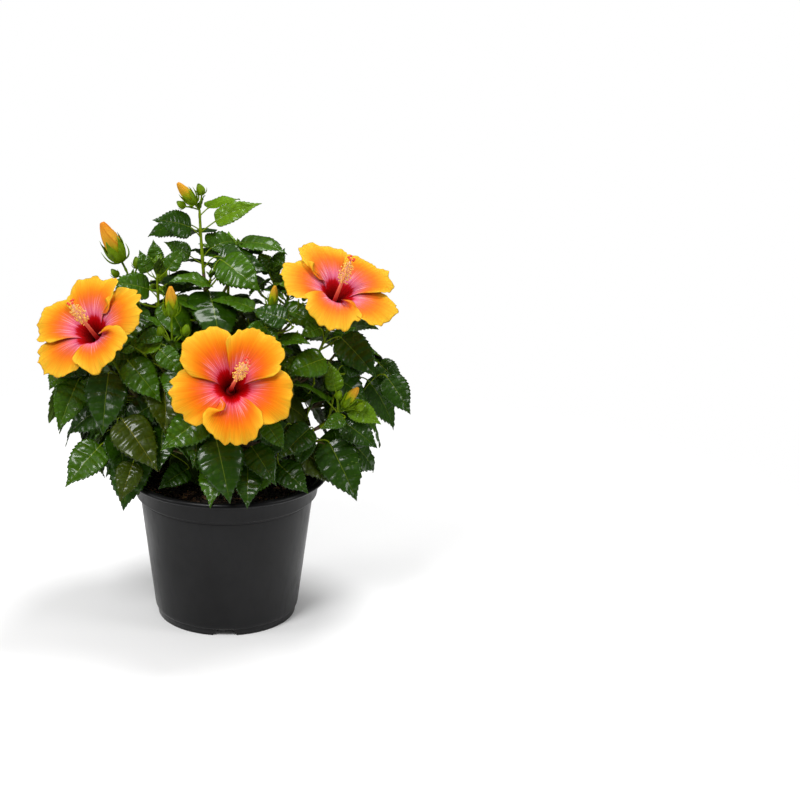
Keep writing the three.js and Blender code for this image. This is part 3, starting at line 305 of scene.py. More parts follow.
# Laps say for each petal whether its two edges lie under (-1) or over (1) the petals beside it. A flap is
# an edge folded over: which petal, which edge, how far out its middle is and how wide it is. Pale says how
# whitish the ring round the throat is.
BLOOMS = (
    {"name": "left", "throat": (-152, -50, 373), "radius": 73, "spin": -9, "pale": 0.75,
     "faces": (-0.43, -0.55, 0.72), "column": (-0.42, -0.45, 0.79),
     "laps": ((1, 1), (-1, 1), (-1, -1), (1, 1), (-1, -1)), "flaps": ((3, 1, 0.5, 0.2), (4, 1, 0.62, 0.2))},
    {"name": "front", "throat": (4, -110, 329), "radius": 75, "spin": 37, "pale": 0.1,
     "faces": (0.08, -0.83, 0.55), "column": (0.28, -0.62, 0.73),
     "laps": ((-1, 1), (-1, -1), (1, 1), (-1, -1), (1, 1)), "flaps": ((2, -1, 0.6, 0.2),)},
    {"name": "right", "throat": (128, -30, 413), "radius": 75, "spin": 20, "pale": 0.85,
     "faces": (0.25, -0.44, 0.86), "column": (0.28, -0.34, 0.9),
     "laps": ((-1, 1), (-1, -1), (1, 1), (-1, -1), (1, 1)), "flaps": ((2, 1, 0.45, 0.2), (1, -1, 0.6, 0.25))},
)


# Numbers and curves

def numbers(seed):
    """A repeatable run of numbers from 0 to 1, the same as the solids' own."""
    state = seed

    def draw():
        nonlocal state
        state = (state * 1664525 + 1013904223) % 2**32
        return state / 2**32

    return draw


def mix(a, b, share):
    return a + (b - a) * share


def within(x):
    return min(1.0, max(0.0, x))


def smooth(x):
    x = np.clip(x, 0, 1)
    return x * x * (3 - 2 * x)


def norm(v, axis=None, keepdims=False):
    """The length of a vector, or of each of many."""
    return np.linalg.norm(v, axis=axis, keepdims=keepdims)


def evenly(count):
    return np.linspace(0, 1, count)


def even_turns(count):
    return np.linspace(0, TURN, count, endpoint=False)


def unit(v):
    return v / norm(v, axis=-1, keepdims=True)


def across(v, along):
    """The part of v that is square to along."""
    return v - along * (v @ along)


def ripple(points, size, seed, waves=14):
    """Smooth bumps of about -1 to 1 through space, as a sum of seeded waves."""
    rng = np.random.default_rng(seed)
    ways = rng.normal(size=(waves, points.shape[-1])) * 2.2 / size
    phases = rng.uniform(0, TURN, waves)
    return np.sin(points @ ways.T + phases).sum(-1) / math.sqrt(waves)


class Curve:
    """A quadratic curve from start to end, drawn towards bend."""

    def __init__(self, start, bend, end):
        self.start, self.bend, self.end = start, bend, end

    def at(self, share):
        share = np.asarray(share, float)[..., None]
        return (1 - share) ** 2 * self.start + 2 * (1 - share) * share * self.bend + share**2 * self.end

    def way(self, share):
        share = np.asarray(share, float)[..., None]
        return unit((self.bend - self.start) * (1 - share) + (self.end - self.bend) * share)

    def length(self):
        return path_length(self.at(evenly(201)))

    def part(self, start, end):
        """The stretch between two shares, as a curve of its own."""
        slope = 2 * ((self.bend - self.start) * (1 - start) + (self.end - self.bend) * start)
        return Curve(self.at(start), self.at(start) + slope * (end - start) / 2, self.at(end))


def path_length(points):
    return norm(np.diff(points, axis=0), axis=1).sum()


def rising(start, end):
    """A curve that leaves the trunk outwards and then turns up."""
    share = np.array((CURVE_OUT, CURVE_OUT, CURVE_UP))
    return Curve(start, start + (end - start) * share, end)


# The rule that lays out twigs, leaves, buds and blooms

class Tip:
    """A twig's tip: its place, where its first leaf points, and what it bears."""

    def __init__(self, x, y, z, first, kind="young", bud=(0, 0, 0), size=0):
        self.at, self.first, self.kind = np.array((x, y, z), float), first, kind
        self.bud, self.size, self.old = np.array(bud, float), size, kind == "old"


class Twig:
    """A twig's curve, the part of it that belongs to its mass, and what grows on it."""

    def __init__(self, curve, start, wide, ends, bare):
        self.curve, self.start, self.wide, self.tip, self.bare = curve, start, wide, ends, bare
        self.leaves, self.rosette, self.laid, self.buds, self.spurs = [], [], [], [], []

    def all_leaves(self):
        return (*self.laid, *self.leaves, *self.rosette, *(leaf for spur in self.spurs for leaf in spur.leaves))


class Leaf:
    """Where a leaf's stalk starts, where its blade starts, and which way the blade points and faces."""

    def __init__(self, root, foot, way, face, length, twig, age=1.0, slim=1.0):
        self.root, self.foot, self.way, self.face, self.length = root, foot, way, face, length
        self.twig, self.age, self.slim = twig, age, slim

    def stalk(self):
        """The part of its stalk that has to keep clear."""
        bare = min(0.25, STALK_FOOT / norm(self.root - self.foot))
        return np.array((mix(self.root, self.foot, bare), self.foot))

    def points(self, share, side):
        """Points of the blade's middle surface."""
        angle = (LEAF_BEND * share)[..., None]
        half = (self.length * LEAF_WIDTH * half_width(share) * side)[..., None]
        return (
            self.spine(angle, LEAF_BEND)
            + np.cross(self.way, self.face) * half * math.cos(LEAF_FOLD)
            + self.facing(angle) * np.abs(half) * math.sin(LEAF_FOLD)
        )

    def facing(self, angle):
        """Which way the blade faces where it has turned by an angle."""
        return self.face * np.cos(angle) + self.way * np.sin(angle)

    def spine(self, angle, bend):
        """The midrib where the blade has turned by an angle, out of its whole bend."""
        way = self.foot + self.way * self.length * np.sin(angle) / bend
        return way - self.face * self.length * (1 - np.cos(angle)) / bend


def half_width(share):
    """Half of a blade's width at a share of its length, as a share of its widest."""
    share = np.clip(share, 0, 1)
    return share**LEAF_FOOT_POWER * (1 - share) ** LEAF_TIP_POWER / LEAF_WIDEST


NET_SHARES = np.array((0, MIDDLE_SHARE, 1) + (LOW_SHARE, HIGH_SHARE) * 2 + (0.2,) * 3 + (0.5,) * 3 + (0.85,) * 3)
NET_SIDES = np.array((0, 0, 0, 1, 1, -1, -1) + (-0.8, 0, 0.8) * 3)
NET_CORNERS = 7
NET_FACES = np.array(((0, 3, 1), (3, 4, 1), (4, 2, 1), (0, 1, 5), (5, 1, 6), (6, 1, 2)))


class Net:
    """A blade or petal as a few triangles with sample points, for the test of what has room."""

    def __init__(self, corners, faces, samples):
        self.triangles = corners[faces]
        a, b, c = self.triangles.transpose(1, 0, 2)
        self.edges = np.concatenate([np.stack(pair, 1) for pair in ((a, b), (b, c), (c, a))])
        self.samples = samples
        self.middle = corners.mean(0)
        self.radius = norm(corners - self.middle, axis=1).max()


def net_of(leaf):
    points = leaf.points(NET_SHARES, NET_SIDES)
    return Net(points[:NET_CORNERS], NET_FACES, points)


def joined(nets):
    """The triangles, samples and edges of several nets."""
    return (np.concatenate([getattr(net, kind) for net in nets]) for kind in ("triangles", "samples", "edges"))


def dot(a, b):
    return np.einsum("...i,...i", a, b)


def near_triangles(points, triangles):
    """The distance from each point to each triangle."""
    a, b, c = triangles.transpose(1, 0, 2)[:, None]
    p = points[:, None]
    normal = np.cross(b - a, c - a)
    best = np.full((len(points), len(triangles)), np.inf)
    inside = np.ones(best.shape, bool)
    for start, end in ((a, b), (b, c), (c, a)):
        edge = end - start
        share = np.clip(dot(p - start, edge) / np.maximum(dot(edge, edge), 1e-12), 0, 1)
        gap = p - start - edge * share[..., None]
        best = np.minimum(best, dot(gap, gap))
        inside &= dot(np.cross(edge, p - start), normal) >= 0
    flat = dot(p - a, normal) ** 2 / np.maximum(dot(normal, normal), 1e-12)
    return np.sqrt(np.where(inside, np.minimum(best, flat), best))


def crossing(segments, triangles):
    """Whether each segment crosses each triangle."""
    a, b, c = triangles.transpose(1, 0, 2)[:, None]
    start, end = segments.transpose(1, 0, 2)[..., None, :]
    way = end - start
    one, other = b - a, c - a
    normal = np.cross(one, other)
    along = dot(way, normal)
    sign = np.sign(along)
    off = start - a
    u = sign * dot(way, np.cross(off, other))
    v = sign * dot(way, np.cross(one, off))
    w = -sign * dot(off, normal)
    along = np.abs(along)
    return (along > 0) & (u >= 0) & (v >= 0) & (u + v <= along) & (w >= 0) & (w < along)


def between_rods(p, q):
    """The shortest way between each pair of straight rods, given as (start, end)."""
    u, v, w = p[1] - p[0], q[1] - q[0], p[0] - q[0]
    a, b, c, d, e = dot(u, u), dot(u, v), dot(v, v), dot(u, w), dot(v, w)
    flat = a * c - b * b
    s = np.where(flat > 1e-9, np.clip((b * e - c * d) / np.where(flat > 1e-9, flat, 1), 0, 1), 0)
    t = np.clip((b * s + e) / c, 0, 1)
    s = np.clip((b * t - d) / a, 0, 1)
    gap = w + u * s[..., None] - v * t[..., None]
    return np.sqrt(dot(gap, gap))


class Space:
    """What already stands in the crown: limbs and stalks as rods, blades and petals as nets."""

    def __init__(self, blooms):
        self.blooms, self.nets = blooms, []
        self.rods, self.middles = np.empty((0, 2, 3)), np.empty((0, 3))
        self.thick, self.owner, self.reach = np.empty(0), np.empty(0, int), np.empty(0)

    def add_rods(self, points, radii, owner=-1):
        self.rods = np.concatenate((self.rods, np.stack((points[:-1], points[1:]), 1)))
        self.thick = np.append(self.thick, radii)
        self.owner = np.append(self.owner, [owner] * len(radii))

    def add_curve(self, curve, start, end, wide, slim, steps, owner=-1):
        shares = evenly(steps + 1)
        self.add_rods(curve.at(mix(start, end, shares)), mix(wide, slim, shares[:-1]), owner)

    def add_net(self, net):
        self.nets.append(net)
        self.middles = np.concatenate((self.middles, net.middle[None]))
        self.reach = np.append(self.reach, net.radius)

    def add_leaf(self, leaf, net):
        self.add_net(net)
        self.add_rods(leaf.stalk(), (STALK_RADIUS,), leaf.twig)

    def room(self, leaf, clear=CLEAR, laid=False):
        """A leaf's net if it and its stalk have room, or else None. The stalk may touch its own twig."""
        net = net_of(leaf)
        at = net.samples
        if not clear_of_pot(at).all() or self.hides_bloom(at).any():
            return None
        if not laid and not (in_crown(at).all() and self.keeps_view(at)):
            return None
        stalk = leaf.stalk()
        meets = self.rods_meet(leaf, net, stalk, clear) or self.nets_meet(net, stalk, clear)
        return None if meets else net

    def rods_meet(self, leaf, net, stalk, clear):
        rods, thick = self.rods, self.thick
        apart, half = norm(rods.mean(1) - net.middle, axis=1), norm(rods[:, 1] - rods[:, 0], axis=1) / 2
        found = np.flatnonzero(apart < net.radius + half + thick + clear)
        if len(found):
            near, wide = rods[found], thick[found] + clear / 2
            points = np.stack((near[:, 0], near.mean(1), near[:, 1]), 1).reshape(-1, 3)
            gaps = between_rods(near.transpose(1, 0, 2)[:, :, None], net.edges.transpose(1, 0, 2)[:, None])
            if (
                (near_triangles(points, net.triangles).min(1) < np.repeat(wide, 3)).any()
                or crossing(near, net.triangles).any() or (gaps.min(1) < wide).any()
            ):
                return True
        others = self.owner != leaf.twig
        gaps = between_rods(stalk[:, None], rods[others].transpose(1, 0, 2))
        return (gaps < thick[others] + STALK_RADIUS + clear / 2).any()

    def nets_meet(self, net, stalk, clear):
        apart = norm(self.middles - net.middle, axis=1)
        found = [self.nets[i] for i in np.flatnonzero(apart < self.reach + net.radius + clear)]
        if found:
            triangles, samples, edges = joined(found)
            if (
                (near_triangles(net.samples, triangles) < clear).any()
                or (near_triangles(samples, net.triangles) < clear).any()
                or crossing(net.edges, triangles).any() or crossing(edges, net.triangles).any()
            ):
                return True
        middle = stalk.mean(0)
        reach = norm(stalk[1] - stalk[0]) / 2 + STALK_RADIUS + clear
        apart = norm(self.middles - middle, axis=1)
        found = [self.nets[i] for i in np.flatnonzero(apart < self.reach + reach)]
        if not found:
            return False
        triangles, _, edges = joined(found)
        points = np.array((stalk[0], middle, stalk[1]))
        wide = STALK_RADIUS + clear / 2
        return (
            (near_triangles(points, triangles) < wide).any()
            or crossing(stalk[None], triangles).any()
            or (between_rods(stalk[:, None], edges.transpose(1, 0, 2)) < wide).any()
        )

    def hides_bloom(self, points):
        """Whether a point is in the way between a bloom and the side that it faces."""
        hidden = np.zeros(len(points), bool)
        for bloom in self.blooms:
            off = points - bloom.throat - bloom.faces * FUNNEL_DEPTH * 0.8
            ahead = off @ SEEN_FROM
            aside = norm(off - SEEN_FROM * ahead[:, None], axis=1)
            hidden |= (ahead > 0) & (aside < BLOOM_CLEAR_RADIUS)
        return hidden

    def keeps_view(self, points):
        """Whether points stay out of the way before the laid leaves and out of the open places."""
        lines = np.stack((points, points - SEEN_FROM * HIDDEN_WITHIN), 1)
        aside = points[:, None] - CLEARINGS[:, :3]
        aside = aside - SEEN_FROM * (aside @ SEEN_FROM)[..., None]
        fills = norm(aside, axis=-1) < CLEARINGS[:, 3]
        return not (fills.any() or crossing(lines, self.in_view).any())


def clear_of_pot(points):
    """Whether each point is out of the pot and above the compost."""
    radius = np.hypot(points[:, 0], points[:, 1])
    floor = np.where(radius < LIP_INNER_RADIUS - 4, SOIL_TOP + 4, POT_HEIGHT + 2.5)
    return (radius > LIP_RADIUS + 3) | (points[:, 2] > floor)


def in_crown(points):
    return norm((points - CROWN_MIDDLE) / CROWN_RADII, axis=1) < 1


def turned_about(v, axis, angle):
    return v * math.cos(angle) + np.cross(axis, v) * math.sin(angle) + axis * (axis @ v) * (1 - math.cos(angle))


def leaf_at(twig, index, share, turn, length, droop, twist):
    """A leaf at a place on a twig: the stalk goes out and up, and the blade hangs from its end."""
    root, along = twig.curve.at(share), twig.curve.way(share)
    out = np.array((math.cos(turn), math.sin(turn), 0.0))
    aside = across(out, along)
    if norm(aside) < STEEP:
        aside = across(UP, along)
    stalk = unit(unit(aside) * STALK_OUT + along * STALK_ALONG)
    foot = root + stalk * (length * STALK_SHARE + STALK_LEAST)
    way = out * math.cos(droop) - UP * math.sin(droop)
    face = turned_about(out * math.sin(droop) + UP * math.cos(droop), way, twist)
    return Leaf(root, foot, way, face, length, index)


def grow_leaves(space, twig, index, draw, spacing=LEAF_SPACING, tries=TRIES, clear=CLEAR, size_by=1.0):
    """Puts leaves down a twig, over the side that looks out of the crown, where they have room."""
    at, first, old = twig.tip.at, twig.tip.first, twig.tip.old
    outward = math.degrees(math.atan2(at[1], at[0]))
    spread = 180 if math.hypot(at[0], at[1]) < AROUND_RADIUS else LEAF_SPREAD
    begin = ((math.fmod(first - outward + 540, 360) - 180) / spread + 3) / 2
    reach = twig.curve.length() * (1 - twig.start)
    for i in range(int(reach * (1 - twig.bare) / spacing)):
        down = (i + 0.4) * spacing
        share = mix(1, twig.start, down / reach)
        usual = mix(LEAF_SHORT, LEAF_LONG, 1 if old else within(down / LEAF_GROWS_OVER))
        size = usual * mix(*LEAF_SIZES, draw()) * size_by
        height = within((twig.curve.at(share)[2] - CROWN_FOOT) / (CROWN_TOP - CROWN_FOOT))
        grown = 1 if old else within(down / YOUNG_OVER)
        droop = mix(YOUNG_DROOP, mix(LOW_DROOP, HIGH_DROOP, height), grown)
        droop += mix(-DROOP_STRAYS, DROOP_STRAYS, draw())
        place = math.fmod(begin + GOLDEN * i, 1)
        turn = outward + spread * (2 * place - 1) + mix(-TURN_STRAYS, TURN_STRAYS, draw())
        facing = FACING_TWIST * math.cos(math.radians(turn)) * max(-1, min(1, -at[1] / FACING_OVER))
        twist = facing + mix(-TWIST_STRAYS, TWIST_STRAYS, draw())
        for k in range(tries):
            aside = (1 if k % 2 else -1) * math.ceil(k / 2)
            angles = (turn + aside * TRY_TURN, droop + (k % 3 - 1) * k, twist + aside * TRY_TWIST)
            turned, drooped, twisted = map(math.radians, angles)
            leaf = leaf_at(twig, index, share, turned, size * TRY_SIZE**k, drooped, twisted)
            net = space.room(leaf, clear)
            if net is not None:
                leaf.age = 1.0 if old else within(down / LEAF_GROWS_OVER)
                space.add_leaf(leaf, net)
                twig.leaves.append(leaf)
                break


class Bud:
    """A closed bud: where its stalk starts, its foot, its tip and half its width."""

    def __init__(self, start, foot, end, width, green):
        self.foot, self.tip, self.width, self.green = foot, end, width, green
        self.way, self.length = unit(end - foot), norm(end - foot)
        bend = mix(start, foot, 0.6) + UP * norm(foot - start) * 0.12
        self.stalk = Curve(start, bend, mix(foot, end, 0.12))


def buds_of(ends):
    """A tip's buds: one long one, and two short ones that stand beside its foot."""
    way = unit(ends.bud - ends.at)
    foot = ends.bud - way * ends.size
    buds = [Bud(ends.at, foot, ends.bud, ends.size * BUD_WIDTH, False)]
    side = unit(np.array((way[2], 0.0, -way[0])))
    for lean, length in SMALL_BUDS:
        small = ends.at + side * lean * SMALL_BUD_ASIDE + way * SMALL_BUD_AHEAD
        end = small + way * length * 0.9 + side * lean * 4
        buds.append(Bud(ends.at, small, end, length * SMALL_BUD_WIDTH, True))
    return buds


def net_grid(rows, columns):
    """How far out and to which side each point of a petal's grid is."""
    return np.meshgrid(evenly(rows), np.linspace(-1, 1, columns), indexing="ij")


class Bloom:
    """An open bloom's place, axes and the shape of its petals."""

    def __init__(self, stem, name, throat, radius, spin, pale, faces, column, laps, flaps):
        self.name, self.radius, self.spin, self.pale = "bloom_" + name, radius, spin, pale
        self.laps, self.flaps = laps, flaps
        self.throat, self.faces = np.array(throat, float), np.array(faces, float)
        self.face = unit(self.faces)
        self.first = unit(across(RIGHT, self.face))
        self.second = np.cross(self.face, self.first)
        end = self.throat + unit(np.array(column, float)) * COLUMN_LENGTH
        self.column = Curve(self.ahead(-6), self.ahead(COLUMN_LENGTH * 0.45), end)
        way = stem.way(1.0)
        start, foot = stem.end + way * GAP, self.ahead(-CALYX_DEPTH)
        self.stalk = Curve(start, start + way * norm(foot - start) * 0.45, foot)

    def ahead(self, length):
        return self.throat + self.face * length

    def place(self, radius, turn, height):
        x, y, z = (part[..., None] for part in (radius * np.cos(turn), radius * np.sin(turn), height))
        return self.throat + self.first * x + self.second * y + self.face * z

    def petal(self, petal, out, side):
        """The solids' petal: out runs from the throat to the edge and side from -1 to 1."""
        half = mix(PETAL_FOOT_SPREAD, 1, smooth(out * 1.8)) * PETAL_HALF_ANGLE
        turn = np.radians(self.spin + 90 + 360 / PETALS * petal + half * side)
        radius = mix(THROAT_RADIUS, self.radius * (1 - PETAL_CORNER * np.abs(side) ** 2.4), out)
        height = funnel(radius) + PETAL_LIFT * side * smooth((out - 0.1) * 2.2)
        height += RUFFLE * out**4 * np.sin(side * RUFFLE_TURNS + petal * RUFFLE_SHIFTS)
        return self.place(radius, turn, height)

    def nets(self):
        rows, columns = 4, 5
        out, side = net_grid(rows, columns)
        at = np.arange((rows - 1) * columns).reshape(rows - 1, columns)[:, :-1].ravel()
        above = at + columns
        faces = np.concatenate((np.stack((at, above, above + 1), 1), np.stack((at, above + 1, at + 1), 1)))
        for petal in range(PETALS):
            corners = self.petal(petal, out.ravel(), side.ravel())
            yield Net(corners, faces, corners)


def funnel(radius):
    """How far the petals stand ahead of the throat at a distance from the bloom's axis."""
    curl = np.maximum(0, radius - CURL_FROM) / CURL_OVER
    return FUNNEL_DEPTH * (1 - np.exp(-(radius - THROAT_RADIUS) / FUNNEL_OPENS_OVER)) - CURL_DEPTH * curl**2


TRUNK = Curve(UP * (SOIL_TOP + GAP), UP * mix(SOIL_TOP, TRUNK_TOP[2], 0.5), TRUNK_TOP)


class Mass:
    """One bough with the stem, twigs and leaves that it carries."""

    def __init__(self, name, start, tips):
        self.name = name
        tips = [Tip(*row) for row in tips]
        self.bough = rising(TRUNK.at(within((start - SOIL_TOP) / (TRUNK_TOP[2] - SOIL_TOP))), tips[0].at)
        self.twigs = [Twig(self.bough, BOUGH_SHARE, STEM_RADIUS, tips[0], BARE_STEM)]
        for i, ends in enumerate(tips[1:]):
            root = self.bough.at(mix(BOUGH_SHARE, 1, FORK_FIRST + FORK_STEP * i))
            self.twigs.append(Twig(rising(root, ends.at), 0.0, TWIG_RADIUS, ends, BARE_TWIG))


@functools.lru_cache(maxsize=1)
def crown():
    """The whole plant, laid out once: its masses and its blooms."""
    masses = [Mass(*row) for row in MASSES]
    stems = {mass.name: mass.bough for mass in masses}
    blooms = [Bloom(stems[given["name"] + "_bloom_spray"], **given) for given in BLOOMS]
    space = Space(blooms)
    space.add_curve(TRUNK, 0, 1, TRUNK_RADIUS, TRUNK_TIP_RADIUS, 4)
    twigs = []
    for mass in masses:
        space.add_curve(mass.bough, 0.06, BOUGH_SHARE, BOUGH_RADIUS, STEM_RADIUS, 4)
        for twig in mass.twigs:
            space.add_curve(twig.curve, twig.start, 1, twig.wide, TIP_RADIUS, 5, len(twigs))
            twigs.append(twig)
            if twig.tip.kind == "buds":
                twig.buds = buds_of(twig.tip)
            for bud in twig.buds:
                space.add_curve(bud.stalk, 0.1, 1, TIP_RADIUS, TIP_RADIUS, 3)
                space.add_rods((bud.foot, bud.tip), (bud.width,))
    for bloom in blooms:
        for net in bloom.nets():
            space.add_net(net)
        space.add_curve(bloom.stalk, 0.1, 1, 2, 4, 4)
        space.add_rods((bloom.ahead(-CALYX_DEPTH), bloom.ahead(4)), (8.5,))
    space.in_view = np.concatenate([net.triangles for mass in masses for net in lay_leaves(space, mass, twigs)])
    for index, twig in enumerate(twigs):
        if twig.tip.kind == "rosette":
            twig.rosette = [leaf for leaf in rosette_of(twig, index) if space.room(leaf)]
        for leaf in twig.rosette:
            space.add_net(net_of(leaf))
    for index, twig in enumerate(twigs):
        grow_leaves(space, twig, index, numbers(SEED + index * SEED_STEP))
    grow_spurs(space, masses, len(twigs))
    return masses, blooms


def leaf_from(mass, twigs, foot, end, faces):
    """A leaf whose blade runs from a given foot to a given tip. Its stalk comes from the nearest twig."""
    steps = np.arange(1, LAID_ROOT_STEPS) / LAID_ROOT_STEPS
    roots = np.stack([twig.curve.at(mix(twig.start, 1, steps)) for twig in mass.twigs])
    far = norm(roots - (foot - UP * LAID_ROOT_BELOW), axis=-1)
    which, step = np.unravel_index(far.argmin(), far.shape)
    along, half = end - foot, LEAF_BEND / 2
    length = norm(along) * half / math.sin(half)
    along = unit(along)
    up = unit(across(np.array(faces, float), along))
    way = along * math.cos(half) + up * math.sin(half)
    face = up * math.cos(half) - along * math.sin(half)
    return Leaf(roots[which, step], foot, way, face, length, twigs.index(mass.twigs[which]))


def lay_leaves(space, mass, twigs):
    """Lays a mass's given leaves. One without room is moved nearer to the viewer or farther off."""
    for number, row in enumerate(LAID.get(mass.name, ())):
        for k in range(TRIES):
            shift = SEEN_FROM * ((1 if k % 2 else -1) * math.ceil(k / 2) * TRY_STEP)
            leaf = leaf_from(mass, twigs, row[:3] + shift, row[3:6] + shift, *(row[6:] or (LAID_FACE,)))
            net = space.room(leaf, laid=True)
            if net is not None:
                twig = twigs[leaf.twig]
                leaf.slim = FRESH.get(mass.name, {}).get(number, 1.0)
                leaf.age = 0.0 if leaf.slim < 1 else 1.0 if twig.tip.old else GROWN_AGE
                space.add_leaf(leaf, net)
                twig.laid.append(leaf)
                yield net
                break


def rosette_of(twig, index):
    """A ring of small upright leaves round a tip."""
    for i in range(ROSETTE_LEAVES):
        turn = math.radians(twig.tip.first + 360 / ROSETTE_LEAVES * i)
        length = ROSETTE_LONG - ROSETTE_LESS * i
        leaf = leaf_at(twig, index, mix(1, twig.start, 0.02 * i), turn, length, math.radians(ROSETTE_DROOP), 0)
        leaf.age = 0.0
        yield leaf


def grow_spurs(space, masses, index):
    """Carries the rule on to short side twigs, each with a few leaves where there is still room."""
    for number, mass in enumerate(masses):
        draw = numbers(SPUR_SEED + number * SEED_STEP)
        count = SPURS_A_TWIG // (2 if mass.bough.end[2] > OPEN_ABOVE else 1)
        for twig in mass.twigs:
            for i in range(count):
                share = mix(1, twig.start, (i + mix(0.2, 0.8, draw())) / count)
                root, along = twig.curve.at(share), twig.curve.way(share)
                turn = TURN * draw()
                out = across(np.array((math.cos(turn), math.sin(turn), mix(-0.3, 0.5, draw()))), along)
                end = root + unit(unit(out) + along * 0.7) * mix(*SPUR_LENGTHS, draw())
                ends = Tip(*end, mix(-180, 180, draw()), "old" if twig.tip.old else "young")
                spur = Twig(rising(root, end), 0.0, TIP_RADIUS, ends, 0.0)
                size_by = mix(0.62, 0.9, draw())
                grow_leaves(space, spur, index, draw, SPUR_LEAF_SPACING, SPUR_TRIES, SPUR_CLEAR, size_by)
                for leaf in spur.leaves:
                    leaf.age = max(leaf.age, GROWN_AGE)
                if spur.leaves:
                    space.add_curve(spur.curve, 0.1, 1, TIP_RADIUS, TIP_RADIUS * 0.7, 3, index)
                    twig.spurs.append(spur)
                index += 1


# Meshes from arrays

def show(name, data):
    """A new object in the scene."""
    made = bpy.data.objects.new(name, data)
    bpy.context.scene.collection.objects.link(made)
    return made


class Builder:
    """Collects many small bodies for one joined mesh."""

    def __init__(self):
        self.points, self.loops, self.sizes, self.slots, self.maps = [], [], [], [], {}
        self.count = 0

    def add(self, points, faces, slots=0, **maps):
        """Adds a body: its points, groups of faces with as many corners, their slots, and any maps by point."""
        for group, slot in zip(faces, np.broadcast_to(slots, len(faces))):
            self.loops.append((group + self.count).ravel())
            self.sizes.append(np.full(len(group), group.shape[1]))
            self.slots.append(np.full(len(group), slot))
            for name, places in maps.items():
                self.maps.setdefault(name, []).append(np.asarray(places)[group.ravel()])
        self.points.append(points)
        self.count += len(points)

    def build(self, name, materials, slot, replaces=(), flat=False):
        """Makes the mesh object, which rides on the plant and stands for the named nodes."""
        loops, sizes = np.concatenate(self.loops), np.concatenate(self.sizes)
        mesh = bpy.data.meshes.new(name)
        points = np.concatenate(self.points) * METRE
        mesh.vertices.add(len(points))
        mesh.vertices.foreach_set("co", points.ravel())
        mesh.loops.add(len(loops))
        mesh.loops.foreach_set("vertex_index", loops)
        mesh.polygons.add(len(sizes))
        mesh.polygons.foreach_set("loop_start", np.concatenate(((0,), np.cumsum(sizes)[:-1])))
        mesh.polygons.foreach_set("material_index", np.concatenate(self.slots))
        for map_name, places in self.maps.items():
            layer = mesh.uv_layers.new(name=map_name, do_init=False)
            layer.uv.foreach_set("vector", np.concatenate(places).ravel())
        mesh.update(calc_edges=True)
        mesh.polygons.foreach_set("use_smooth", np.full(len(sizes), not flat))
        for material in materials:
            mesh.materials.append(material)
        piece = show(name, mesh)
        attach(piece, BODY)
        if replaces:
            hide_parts(*replaces)
        return piece


def grid_faces(rows, columns, closed=False):
    """Quads over a grid of points, which may close on itself across its columns."""
    at = np.arange(rows * columns).reshape(rows, columns)
    after = np.roll(at, -1, axis=1) if closed else at[:, 1:]
    at = at if closed else at[:, :-1]
    return np.stack((at[:-1], after[:-1], after[1:], at[1:]), -1).reshape(-1, 4)


def sweep(points, radii, sides):
    """A closed round tube along points. radii holds one radius a point, or one for each side of each point."""
    ways = unit(np.gradient(points, axis=0))
    middle = unit(ways.mean(0))
    start = RIGHT if abs(middle[0]) < 0.8 else BACK
    first = unit(start - ways * (ways @ start)[:, None])
    second = np.cross(first, ways)
    angle = even_turns(sides)[:, None]
    ring = first[:, None] * np.cos(angle) + second[:, None] * np.sin(angle)
    radii = np.broadcast_to(np.transpose(radii), (sides, len(points))).T[..., None]
    body = (points[:, None] + ring * radii).reshape(-1, 3)
    return np.concatenate((body, points[:1], points[-1:])), end_faces(len(points), sides)


def end_faces(rows, columns):
    """Faces of a closed grid whose first and last rows are joined to two further points."""
    here = np.arange(columns)
    after = (here + 1) % columns
    last = (rows - 1) * columns
    count = np.full(columns, rows * columns)
    caps = (count, after, here), (count + 1, last + here, last + after)
    return grid_faces(rows, columns, closed=True), np.concatenate([np.stack(cap, 1) for cap in caps])


def rounded(corners, radius, steps=4):
    """A profile with its corners rounded off, or cut shorter where a side is short."""
    corners = np.asarray(corners, float)
    made = [corners[0]]
    for before, corner, after in zip(corners[:-2], corners[1:-1], corners[2:]):
        back, on = before - corner, after - corner
        reach = min(radius, norm(back) * 0.45, norm(on) * 0.45)
        curve = Curve(corner + unit(back) * reach, corner, corner + unit(on) * reach)
        made.extend(curve.at(evenly(steps)))
    made.append(corners[-1])
    return np.array(made)


def normals(grid):
    """Which way a grid of points faces at each of them."""
    normal = np.cross(np.gradient(grid, axis=0), np.gradient(grid, axis=1))
    return normal / np.maximum(norm(normal, axis=-1, keepdims=True), 1e-9)


def closed_sheet(middle, thick):
    """A thin body round a grid of points. Its upper and lower skin share the grid's edge."""
    rows, columns = middle.shape[:2]
    normal = normals(middle)
    upper, lower = middle + normal * thick / 2, middle - normal * thick / 2
    edge = np.zeros((rows, columns), bool)
    edge[[0, -1]] = edge[:, [0, -1]] = True
    upper[edge] = middle[edge]
    under = np.arange(rows * columns).reshape(rows, columns)
    under[~edge] = rows * columns + np.arange((~edge).sum())
    quads = grid_faces(rows, columns)
    return np.concatenate((upper.reshape(-1, 3), lower[~edge])), (quads[:, ::-1], under.ravel()[quads]), edge


# Materials

COLOUR, VECTOR = "NodeSocketColor", "NodeSocketVector"


def put(tree, kind, inputs=None, **settings):
    """Adds a shader node with its settings, and sets or links its inputs."""
    node = tree.nodes.new("ShaderNode" + kind)
    for name, value in settings.items():
        setattr(node, name, value)
    for key, value in (inputs or {}).items():
        socket = node.inputs[key]
        if isinstance(value, bpy.types.NodeSocket):
            tree.links.new(value, socket)
        else:
            socket.default_value = (*value, 1) if socket.type == "RGBA" else value
    return node


def tree_of(*values):
    """The tree of the first socket among some values."""
    return next(value.id_data for value in values if isinstance(value, bpy.types.NodeSocket))


